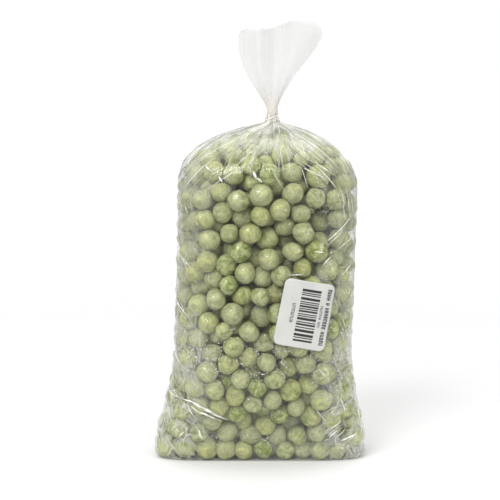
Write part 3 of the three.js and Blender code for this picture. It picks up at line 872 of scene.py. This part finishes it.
def make_film():
    count = film_points.shape[0]
    made = mesh_object("film", film_points.reshape(-1, 3), tube_faces(count), polythene)
    mesh = made.data
    store(mesh, "milky", milk)
    store(mesh, "gathered", gathered)
    store(mesh, "lifted", lifted)
    corners = np.zeros(len(mesh.loops), int)
    mesh.loops.foreach_get("vertex_index", corners)
    along = np.concatenate([[0], np.cumsum(np.linalg.norm(np.diff(smooth_film[:, 0], axis=0), axis=1))])
    round_share = (corners % AROUND) / AROUND
    uv = np.stack([round_share, along[corners // AROUND] / along[-1]], 1)
    face_of = np.repeat(np.arange(len(mesh.polygons)), [p.loop_total for p in mesh.polygons])
    highest = np.zeros(len(mesh.polygons))
    np.maximum.at(highest, face_of, uv[:, 0])
    wrapped = (highest[face_of] > 0.9) & (uv[:, 0] < 0.1)
    uv[wrapped, 0] += 1
    layer = mesh.uv_layers.new(name="round_and_along")
    layer.data.foreach_set("uv", uv.ravel())
    return made


film = make_film()
print("film has", len(film.data.polygons), "faces")

# %% [markdown]
# ## Sharp folds in the film
# Where the bag was folded flat before it was filled, it keeps sharp folds that stand up as thin
# lines: a few long ones at the foot, radial ones under the neck and many short ones down the
# sides, with short dabs on the front. Most are painted white, partly the milk of creased film and
# partly a painted highlight, and the short dabs on the front are painted glints. A few are
# painted dark, a painted reflection of the dark between the peas. Each is a curve laid on the
# film and given a small round profile by Geometry Nodes. That keeps them crisp, which a bump on
# the coarse film mesh couldn't.

# %% Paths of the folds
# Several short ones on the front are painted glints.
FRONT_FOLDS = [  # x and z of both ends, width
    (-34.5, 32.3, -15.9, 22.4, 1.5),
    (-33.5, 29.3, -18.3, 20.7, 1.0),
    (-36.8, 32.2, -33.0, 30.9, 0.8),
    (-35.0, 29.7, -31.2, 22.1, 0.5),
    (-39.6, 12.1, -36.7, 14.9, 1.0),
    (-30.8, 17.8, -28.5, 12.5, 0.9),
    (-29.9, 15.1, -26.1, 10.4, 0.6),
    (30.8, 14.6, 39.4, 20.6, 0.8),
    (39.2, 9.5, 47.0, 13.4, 1.0),
    (33.3, 12.4, 38.0, 16.4, 0.6),
    (-3.2, 142.0, -1.4, 138.8, 1.6),
    (-1.8, 139.4, 0.9, 136.6, 1.2),
    (-25.5, 144.2, -22.6, 141.3, 0.8),
    (-19.8, 140.1, -17.9, 137.0, 0.9),
    (-42.5, 84.0, -33.3, 72.2, 0.6),
    (-44.0, 112.0, -37.5, 100.2, 0.7),
    (-37.5, 100.2, -33.0, 95.2, 0.45),
    (-45.0, 58.0, -34.4, 45.8, 0.5),
    (38.2, 34.0, 41.8, 23.4, 0.5),
    (19.8, 143.6, 31.3, 138.2, 0.6),
    (21.8, 147.6, 35.3, 139.2, 0.5),
    (30.7, 108.5, 42.9, 119.4, 0.7),
    (31.7, 106.5, 40.9, 115.4, 0.4),
    (25.1, 104.2, 29.7, 103.2, 0.6),
    (13.8, 93.8, 20.2, 93.6, 0.55),
    (18.4, 84.6, 25.2, 84.4, 0.55),
    (5.6, 89.4, 7.8, 86.4, 0.4),
    (-45.0, 34.6, -35.5, 32.0, 0.6),
    (29.5, 97.5, 33.7, 101.2, 0.6),
    (38.1, 92.0, 44.0, 98.0, 0.5),
]
FOLD_BUNDLES = [  # x and z of both ends of the first fold, width, how many, and the step to the next
    (29.0, 13.0, 37.0, 20.0, 0.4, 5, 2.5, -1.6),
    (30.7, 108.5, 42.5, 118.0, 0.4, 4, 1.0, -3.2),
    (-44.0, 112.0, -38.5, 101.5, 0.4, 4, 1.5, -2.5),
    (-42.5, 84.0, -34.5, 73.0, 0.35, 3, -0.4, -4.0),
    (-44.0, 47.0, -37.0, 36.0, 0.35, 3, 1.2, -2.8),
    (38.0, 72.0, 42.5, 60.0, 0.3, 4, -1.4, -5.0),
    (16.0, 159.0, 37.0, 143.0, 0.3, 7, -1.6, -0.7),
    (9.0, 160.5, 27.0, 150.0, 0.5, 4, 1.8, 0.6),
    (27.0, 152.0, 40.5, 137.0, 0.45, 4, -2.2, -2.0),
    (41.0, 136.0, 44.5, 118.0, 0.35, 3, -2.0, 0.0),
    (-6.0, 159.5, -36.0, 141.0, 0.3, 7, 1.5, -1.6),
    (3.0, 160.0, -14.0, 145.0, 0.3, 3, 3.0, -1.0),
    (-24.0, 152.0, -40.0, 134.0, 0.4, 4, 1.6, -2.2),
]


def nearest_on_front(x, z):
    """Ring and column of the film's front point nearest to x and z."""
    front = smooth_film[:neck_start, AROUND // 2:]
    away = (front[..., 0] - x) ** 2 + (front[..., 2] - z) ** 2
    ring, column = np.unravel_index(away.argmin(), away.shape)
    return ring, column + AROUND // 2


def on_film(ring, column):
    """Points of the draped film at fractional rings and columns, and its normals there."""
    low_ring = np.clip(np.floor(ring).astype(int), 0, film_points.shape[0] - 2)
    low_column = np.floor(column).astype(int)
    up, over = (ring - low_ring)[:, None], (column - low_column)[:, None]

    def mixed(grid):
        a, b = grid[low_ring, low_column % AROUND], grid[low_ring, (low_column + 1) % AROUND]
        c, d = grid[low_ring + 1, low_column % AROUND], grid[low_ring + 1, (low_column + 1) % AROUND]
        return (a * (1 - over) + b * over) * (1 - up) + (c * (1 - over) + d * over) * up

    return mixed(taut_film), mixed(film_normal)


SIDE_FOLDS, DOME_FOLDS, NECK_RIBS, GLINTS = 170, 150, 8, 45


def fold_paths():
    """Ends, as ring and column, and width of every fold."""
    random = np.random.default_rng(17)
    fronts = list(FRONT_FOLDS)
    for x0, z0, x1, z1, width, count, dx, dz in FOLD_BUNDLES:
        for i in range(count):
            j = i + random.uniform(-0.25, 0.25)
            cut = random.uniform(0, 0.35)
            start = (x0 + (x1 - x0) * cut + dx * j, z0 + (z1 - z0) * cut + dz * j)
            fronts.append((*start, x1 + dx * j, z1 + dz * j, width * random.uniform(0.6, 1.2)))
    found = [(*nearest_on_front(x0, z0), *nearest_on_front(x1, z1), w) for x0, z0, x1, z1, w in fronts]
    for _ in range(SIDE_FOLDS):
        side = random.choice([0, AROUND // 2])
        column = side + random.normal(0, 22)
        ring = random.uniform(8, dome_start - 6)
        long = random.uniform(2, 10)
        outward = 1 if side == 0 else -1
        lean = outward * random.choice([-1, 1, 1, 1]) * random.uniform(0.5, 1.3)
        found.append((ring, column, ring + long, column + lean * long, random.uniform(0.18, 0.4)))
    for _ in range(DOME_FOLDS):
        column = random.uniform(0, AROUND)
        start = dome_start + DOME_RINGS * random.uniform(0.0, 0.7)
        end = min(start + DOME_RINGS * random.uniform(0.1, 0.35), neck_start - 1)
        found.append((start, column, end, column + random.uniform(-9, 9), random.uniform(0.12, 0.34)))
    for turn in np.arange(NECK_RIBS) / NECK_RIBS:
        start = neck_start + random.uniform(-5, 6)
        end = start + random.uniform(9, 14)
        found.append((start, turn * AROUND, end, (turn + 0.22) * AROUND, 0.42))
    # Short white dabs on the front: painted glints.
    for _ in range(GLINTS):
        ring, column = random.uniform(10, dome_start), AROUND * random.uniform(0.58, 0.92)
        found.append((ring, column, ring + random.uniform(0.5, 1.6), column + random.uniform(-1.5, 1.5), 0.4))
    return found


# %% Geometry Nodes tree that turns the paths into ridges
RIDGE_SIDES = 5


def fold_tree():
    tree, inside, sides = shape_tree("ridges_on_paths", "Paths", "Sides", "NodeSocketInt", RIDGE_SIDES)
    curve = node(tree, "GeometryNodeMeshToCurve", {"Mesh": inside.outputs["Paths"]}).outputs[0]
    width = node(tree, "GeometryNodeInputNamedAttribute", {"Name": "width"}, data_type="FLOAT").outputs[0]
    profile = node(tree, "GeometryNodeCurvePrimitiveCircle", {
        "Resolution": inside.outputs["Sides"], "Radius": 1.0,
    }).outputs[0]
    ridge = node(tree, "GeometryNodeCurveToMesh", {
        "Curve": curve, "Profile Curve": profile, "Scale": width, "Fill Caps": True,
    }).outputs[0]
    soft = node(tree, "GeometryNodeSetShadeSmooth", {"Geometry": ridge, "Shade Smooth": True}).outputs[0]
    end_tree(tree, soft, fold_milk_and_painted_light)
    return tree, sides


def fold_material():
    material, tree, output = new_material("folded_film")
    place = node(tree, "ShaderNodeTexCoord").outputs["Object"]
    cloud = noise(tree, place, 260.0, Detail=2.0)
    painted_dark = node(tree, "ShaderNodeAttribute", attribute_name="painted_dark").outputs["Fac"]
    # White ridges are partly the milk of creased film and partly a painted highlight; ridges marked painted
    # dark are a painted reflection of the dark between the peas.
    ridge_milk_and_painted_light = node(tree, "ShaderNodeBsdfPrincipled", {
        "Base Color": blend(tree, painted_dark, (0.95, 0.95, 0.92, 1), (0.16, 0.17, 0.13, 1)),
        "Roughness": 0.15,
        "Alpha": ramp(tree, cloud, 0.35, 0.65, 0.3, 0.9),
    })
    tree.links.new(ridge_milk_and_painted_light.outputs[0], output.inputs["Surface"])
    return material


fold_milk_and_painted_light = fold_material()


def make_folds():
    random = np.random.default_rng(31)
    points, edges, widths, painted_dark_values = [], [], [], []
    for ring0, column0, ring1, column1, width in fold_paths():
        share = np.linspace(0, 1, 14)
        bow = np.sin(math.pi * share) * 0.5 * math.sin(ring0 * 7 + column0)
        at, out = on_film(ring0 + (ring1 - ring0) * share, column0 + (column1 - column0) * share + bow)
        first = len(points)
        points += list(at + out * 0.05)
        edges += [(first + i, first + i + 1) for i in range(len(share) - 1)]
        widths += list(width / 2 * (0.1 + 0.9 * np.sin(math.pi * share)))
        # Some thin folds below the neck, more of them on the dome, are painted dark: a painted reflection of
        # the dark between the peas.
        often = 0.55 if max(ring0, ring1) > dome_start + 8 else 0.35
        painted_dark_fold = width < 0.42 and ring0 < neck_start - 6 and random.uniform(0, 1) < often
        painted_dark_values += [0.9 if painted_dark_fold else 0.0] * len(share)
    mesh = bpy.data.meshes.new("fold_paths")
    mesh.from_pydata((np.array(points) * MM).tolist(), edges, [])
    store(mesh, "width", np.array(widths) * MM)
    store(mesh, "painted_dark", painted_dark_values)
    source = bpy.data.objects.new("fold_paths", mesh)
    bpy.context.scene.collection.objects.link(source)
    tree, sides = fold_tree()
    return grown_mesh("film_folds", source, tree, {sides: RIDGE_SIDES}, fold_milk_and_painted_light)


film_folds = make_folds()

# %% [markdown]
# ## Droplets under the film
# Frozen peas breathe a little water, which settles as tiny beads on the inside of the film, seen
# in the dark gaps between the lower peas. They are points chosen where the film hangs clear of
# every pea, with a tiny ball on each. The balls are painted near white, a painted highlight for
# the sparkle of clear water. Geometry Nodes places them, as there are nearly two thousand.

# %% Droplets
BEAD_RADIUS = 0.36
BEAD_DEPTH = 0.55  # how far a bead's middle lies under the film


def droplet_material():
    material, tree, output = new_material("water_bead")
    slant = node(tree, "ShaderNodeFresnel", {"IOR": 1.33}).outputs[0]
    mirror = node(tree, "ShaderNodeBsdfGlossy", {"Color": (1, 1, 1, 1), "Roughness": 0.05})
    # Near-white diffuse: a painted highlight for the sparkle of clear water.
    painted_sparkle = node(tree, "ShaderNodeBsdfDiffuse", {"Color": (0.92, 0.9, 0.94, 1)})
    shine = ramp(tree, slant, 0.0, 0.5, 0.3, 1.0)
    whole = node(tree, "ShaderNodeMixShader", {0: shine, 1: painted_sparkle.outputs[0], 2: mirror.outputs[0]})
    tree.links.new(whole.outputs[0], output.inputs["Surface"])
    return material


water_bead = droplet_material()


def droplet_tree():
    tree, inside, radius = shape_tree(
        "beads_on_points", "Points", "Radius", "NodeSocketFloat", BEAD_RADIUS * MM)
    bead = node(tree, "GeometryNodeMeshIcoSphere", {"Radius": inside.outputs["Radius"], "Subdivisions": 1})
    soft = node(tree, "GeometryNodeSetShadeSmooth", {"Geometry": bead.outputs["Mesh"], "Shade Smooth": True})
    size = node(tree, "GeometryNodeInputNamedAttribute", {"Name": "size"}, data_type="FLOAT").outputs[0]
    placed = node(tree, "GeometryNodeInstanceOnPoints", {
        "Points": inside.outputs["Points"], "Instance": soft.outputs[0], "Scale": size,
    })
    end_tree(tree, placed.outputs[0], water_bead)
    return tree, radius


def make_droplets():
    random = np.random.default_rng(23)
    body = slice(8, dome_start)
    clearance = (sag - pea_top)[body]
    z = smooth_film[body, :, 2]
    cloud = np.sin(0.21 * smooth_film[body, :, 0] + 1) * np.sin(0.17 * z) + np.sin(0.11 * z + 2)
    chance = smooth(clearance, 2.12, 2.3) * (1.0 - smooth(z, 40, 100)) * smooth(cloud, -0.5, 0.9)
    found = np.nonzero(chance > random.uniform(0, 1, z.shape) * 1.3)
    base = film_points[body][found] - film_normal[body][found] * BEAD_DEPTH
    base += random.uniform(-0.4, 0.4, base.shape)
    points = mesh_object("bead_places", base, [], water_bead)
    store(points.data, "size", random.uniform(0.45, 1.1, len(base)))
    tree, radius = droplet_tree()
    print("droplets:", len(base))
    return grown_mesh("droplets", points, tree, {radius: BEAD_RADIUS * MM}, water_bead)


droplets = make_droplets()

# %% [markdown]
# ## The sticker
# A coated paper label with round corners, stuck a little turned, so that it follows the curve of
# the film. It is a fine grid cut to a rounded rectangle and wrapped: a point goes sideways along
# the film by its distance on the flat label, so the print isn't stretched. Solidify gives it the
# thickness of paper.

# %% Wrap points onto the front of the bag
LABEL_STAND_OFF = 0.5
PAPER = 0.18


def on_front(flat, stand_off):
    """Points on the bag's front for points of the flat label, given from its middle."""
    along = flat[:, 0] * math.cos(LABEL_TURN) + flat[:, 1] * math.sin(LABEL_TURN)
    z = LABEL_Z - flat[:, 0] * math.sin(LABEL_TURN) + flat[:, 1] * math.cos(LABEL_TURN)
    half_width, half_depth, power, middle = body_section(z)
    x = np.full(len(flat), LABEL_X)

    def front(at):
        across = np.clip(np.abs((at - middle) / half_width), 0, 0.999)
        return -half_depth * (1 - across**power) ** (1 / power)

    steps = 80
    for _ in range(steps):
        slope = (front(x + 0.05) - front(x - 0.05)) / 0.1
        x = x + along / steps / np.hypot(1, slope)
    slope = (front(x + 0.05) - front(x - 0.05)) / 0.1
    steep = np.hypot(slope, 1)
    wave = 0.12 * np.sin(0.55 * x + 0.3 * z) + 0.1 * np.sin(0.5 * z - 0.35 * x + 1)
    out = stand_off + wave
    return np.stack([x + out * slope / steep, front(x) - out / steep, z], 1)


def rounded_grid(width, height, corner, columns, rows):
    """A grid of points squeezed into a rectangle with round corners, and its quads."""
    u, v = np.meshgrid(np.linspace(-1, 1, columns), np.linspace(-1, 1, rows))
    x, y = u * width / 2, v * height / 2
    over_x = np.maximum(np.abs(x) - (width / 2 - corner), 0)
    over_y = np.maximum(np.abs(y) - (height / 2 - corner), 0)
    reach = np.hypot(over_x, over_y)
    longest = np.maximum(over_x, over_y)
    shrink = np.where(reach > 0, longest / np.maximum(reach, 1e-9), 1)
    x = np.sign(x) * (np.abs(x) - over_x * (1 - shrink))
    y = np.sign(y) * (np.abs(y) - over_y * (1 - shrink))
    index = np.arange(rows * columns).reshape(rows, columns)
    quads = np.stack([index[:-1, :-1], index[:-1, 1:], index[1:, 1:], index[1:, :-1]], 2).reshape(-1, 4)
    return np.stack([x.ravel(), y.ravel()], 1), quads.tolist()


# %% Paper and its print
def paper_material():
    material, tree, output = new_material("coated_paper")
    place = node(tree, "ShaderNodeTexCoord").outputs["Object"]
    cloud = noise(tree, place, 90.0, Detail=3.0)
    fibre = noise(tree, place, 1800.0, Detail=2.0)
    colour = blend(tree, ramp(tree, cloud, 0.3, 0.7), linear(191, 192, 187), linear(197, 198, 193))
    bump = node(tree, "ShaderNodeBump", {"Height": fibre, "Strength": 0.1, "Distance": 0.0001})
    paper = node(tree, "ShaderNodeBsdfPrincipled", {
        "Base Color": colour,
        "Roughness": ramp(tree, fibre, 0.3, 0.7, 0.38, 0.5),
        "Specular IOR Level": 0.4,
        "Normal": bump.outputs[0],
    })
    tree.links.new(paper.outputs[0], output.inputs["Surface"])
    return material


def ink_material():
    material, tree, output = new_material("thermal_print")
    place = node(tree, "ShaderNodeTexCoord").outputs["Object"]
    grain = noise(tree, place, 2500.0, Detail=2.0)
    colour = blend(tree, ramp(tree, grain, 0.45, 0.75), linear(24, 24, 26), linear(70, 70, 72))
    ink = node(tree, "ShaderNodeBsdfPrincipled", {"Base Color": colour, "Roughness": 0.5})
    tree.links.new(ink.outputs[0], output.inputs["Surface"])
    return material


def make_label():
    flat, quads = rounded_grid(LABEL_WIDTH, LABEL_HEIGHT, LABEL_CORNER, 41, 53)
    made = mesh_object("sticker", on_front(flat, LABEL_STAND_OFF), quads, paper_material())
    thickness = made.modifiers.new("paper", "SOLIDIFY")
    thickness.thickness = PAPER * MM
    thickness.offset = 1
    return made


sticker = make_label()
print("sticker grid:", len(sticker.data.vertices), "points")

# %% [markdown]
# The print is bars across the label, stacked down its length, with rows of plain strokes beside
# them in place of words. A bar is a flat strip, so Geometry Nodes puts one grid, scaled to the
# bar's own width, on each point of a column, and the flat result is then wrapped onto the film
# like the paper.

# %% Bars of the sticker
STRIP_POINTS = 12


def strip_tree():
    tree, inside, cuts = shape_tree(
        "strips_on_points", "Points", "Points along a strip", "NodeSocketInt", STRIP_POINTS)
    strip = node(tree, "GeometryNodeMeshGrid", {
        "Size X": 1.0, "Size Y": 1.0, "Vertices X": inside.outputs["Points along a strip"], "Vertices Y": 3,
    })
    size = node(tree, "GeometryNodeInputNamedAttribute", {"Name": "size"}, data_type="FLOAT_VECTOR")
    placed = node(tree, "GeometryNodeInstanceOnPoints", {
        "Points": inside.outputs["Points"], "Instance": strip.outputs["Mesh"], "Scale": size.outputs[0],
    })
    end_tree(tree, placed.outputs[0], thermal_print)
    return tree, cuts


thermal_print = ink_material()
BARS_LEFT, BARS_RIGHT = -3.6, 5.6  # across the label, from its middle
BARS_TOP, BARS_BOTTOM = 12.3, -12.0
TEXT_ROWS = [  # across the label, top, bottom, height of the marks and width of their strokes
    (10.0, 13.4, -13.2, 2.1, 0.36),
    (7.2, 5.2, -4.8, 1.5, 0.2),
    (-6.2, 4.6, -4.6, 1.6, 0.22),
]


def strips():
    """Middle and size of each printed strip on the flat label."""
    random = np.random.default_rng(3)
    found = []
    y = BARS_TOP
    while y > BARS_BOTTOM:
        thick = random.choice([0.5, 0.5, 0.9, 1.2])
        found.append(((BARS_LEFT + BARS_RIGHT) / 2, y - thick / 2, BARS_RIGHT - BARS_LEFT, thick))
        y -= thick + random.choice([0.45, 0.45, 0.7, 0.9])
    for x, top, bottom, tall, stroke in TEXT_ROWS:
        y = top
        while y > bottom:
            long = random.uniform(0.75, 1.15)
            found.append((x, y, tall, stroke))
            found.append((x, y - long + stroke, tall, stroke))
            found.append((x + tall * random.choice([-0.4, 0, 0.4]), y - long / 2, stroke, long))
            y -= long + 0.4 + (random.uniform(0, 1) < 0.16) * 0.9
    return np.array(found)


def make_print():
    rows = strips()
    points = np.column_stack([rows[:, :2] / MM, np.zeros(len(rows))])
    places = mesh_object("strip_places", points, [], thermal_print)
    store(places.data, "size", np.column_stack([rows[:, 2:], np.ones(len(rows))]), "FLOAT_VECTOR")
    tree, cuts = strip_tree()
    made = grown_mesh("label_print", places, tree, {cuts: STRIP_POINTS}, thermal_print)
    flat = np.zeros(len(made.data.vertices) * 3)
    made.data.vertices.foreach_get("co", flat)
    wrapped = on_front(flat.reshape(-1, 3)[:, :2], LABEL_STAND_OFF + PAPER + 0.03)
    made.data.vertices.foreach_set("co", (wrapped * MM).ravel())
    thickness = made.modifiers.new("ink", "SOLIDIFY")
    thickness.thickness = 0.02 * MM
    thickness.offset = 1
    return made


label_print = make_print()

# %% [markdown]
# ## Floor, light and camera
# The photograph is a packshot: white all round, with soft light. A world that is plain white to
# the camera, but brighter above and behind for the object than in front, does most of it. Three
# large area lights give the peas their form and the film its sharp reflections.

# %% Floor
FLOOR_DROP = 0.15
FLOOR_FADE = (0.15, 0.5)


def make_floor():
    """A pale disc that fades out into the white room, so that no horizon shows."""
    material, tree, output = new_material("pale_floor")
    place = node(tree, "ShaderNodeTexCoord").outputs["Object"]
    cloud = noise(tree, place, 3.0)
    colour = blend(tree, cloud, (0.67, 0.67, 0.67, 1), (0.69, 0.69, 0.69, 1))
    away = node(tree, "ShaderNodeVectorMath", {0: place}, operation="LENGTH").outputs["Value"]
    paint = node(tree, "ShaderNodeBsdfPrincipled", {
        "Base Color": colour,
        "Roughness": 0.9,
        "Alpha": ramp(tree, away, *FLOOR_FADE, 1.0, 0.0),
    })
    tree.links.new(paint.outputs[0], output.inputs["Surface"])
    side = 900
    corners = [(-side, -side), (side, -side), (side, side), (-side, side)]
    made = mesh_object("floor", [(x, y, -FLOOR_DROP) for x, y in corners], [[0, 1, 2, 3]], material)
    return made


floor = make_floor()

# %% Light
def make_world():
    """White to the camera, and to the object a room that is bright above and dim in front."""
    world = bpy.data.worlds.new("white_room")
    world.use_nodes = True
    tree = world.node_tree
    tree.nodes.clear()
    way = node(tree, "ShaderNodeTexCoord").outputs["Generated"]
    parts = node(tree, "ShaderNodeSeparateXYZ", {0: way})
    upward = ramp(tree, parts.outputs["Z"], -0.1, 0.9, 0.0, 0.56)
    behind = ramp(tree, parts.outputs["Y"], -0.6, 0.8, 0.0, 0.55)
    room = calc(tree, "ADD", 0.13, calc(tree, "ADD", upward, behind))
    seen = node(tree, "ShaderNodeLightPath").outputs["Is Camera Ray"]
    strength = node(tree, "ShaderNodeMix", {0: seen, 2: room, 3: 1.0}).outputs[0]
    background = node(tree, "ShaderNodeBackground", {"Color": (1, 1, 1, 1), "Strength": strength})
    output = tree.nodes.new("ShaderNodeOutputWorld")
    tree.links.new(background.outputs[0], output.inputs["Surface"])
    bpy.context.scene.world = world


def area_light(name, place, target, width, height, power):
    """A soft box at a place in metres, turned to face a target."""
    data = bpy.data.lights.new(name, "AREA")
    data.shape = "RECTANGLE"
    data.size, data.size_y = width, height
    data.energy = power
    made = bpy.data.objects.new(name, data)
    made.location = place
    way = [t - p for t, p in zip(target, place)]
    made.rotation_euler = mathutils.Vector(way).to_track_quat("-Z", "Y").to_euler()
    bpy.context.scene.collection.objects.link(made)


make_world()
middle = (0, 0, 0.1)
area_light("key_above_left", (-0.45, -0.75, 0.8), middle, 0.6, 0.6, 10.8)
area_light("fill_right", (0.7, -0.6, 0.4), middle, 0.3, 0.8, 3.4)
area_light("top", (0.05, 0.1, 1.0), middle, 0.6, 0.6, 3.8)

# %% Camera
CAMERA_DISTANCE = 0.8
CAMERA_ELEVATION = math.radians(8)
CAMERA_TARGET = (-0.00485, 0, 0.1005)
FRAME_WIDTH = 0.244  # what the photograph's 500 pixels span at the target
SENSOR_WIDTH = 36

camera_data = bpy.data.cameras.new("camera")
camera_data.sensor_width = SENSOR_WIDTH
camera_data.lens = SENSOR_WIDTH * CAMERA_DISTANCE / FRAME_WIDTH
camera_data.clip_start = 0.05
camera = bpy.data.objects.new("camera", camera_data)
back = mathutils.Vector((0, -math.cos(CAMERA_ELEVATION), math.sin(CAMERA_ELEVATION)))
camera.location = mathutils.Vector(CAMERA_TARGET) + back * CAMERA_DISTANCE
camera.rotation_euler = (-back).to_track_quat("-Z", "Y").to_euler()
bpy.context.scene.collection.objects.link(camera)
bpy.context.scene.camera = camera
bpy.context.scene.view_settings.view_transform = "Standard"
print("lens, mm:", round(camera_data.lens, 1))

# %% [markdown]
# ## Hand the pieces to the frame
# Everything rides on the bag's one body. Film, peas and droplets stand for the bag's solid, and
# the paper and its print stand for the label's.

# %% Ride and replace
for piece, slot in ((peas, "peas"), (film, "film"), (film_folds, "film"), (droplets, "frost")):
    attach(piece, "root")
    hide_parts("bag_of_peas")
for piece, slot in ((sticker, "label_paper"), (label_print, "label_print")):
    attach(piece, "root")
    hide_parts("label")
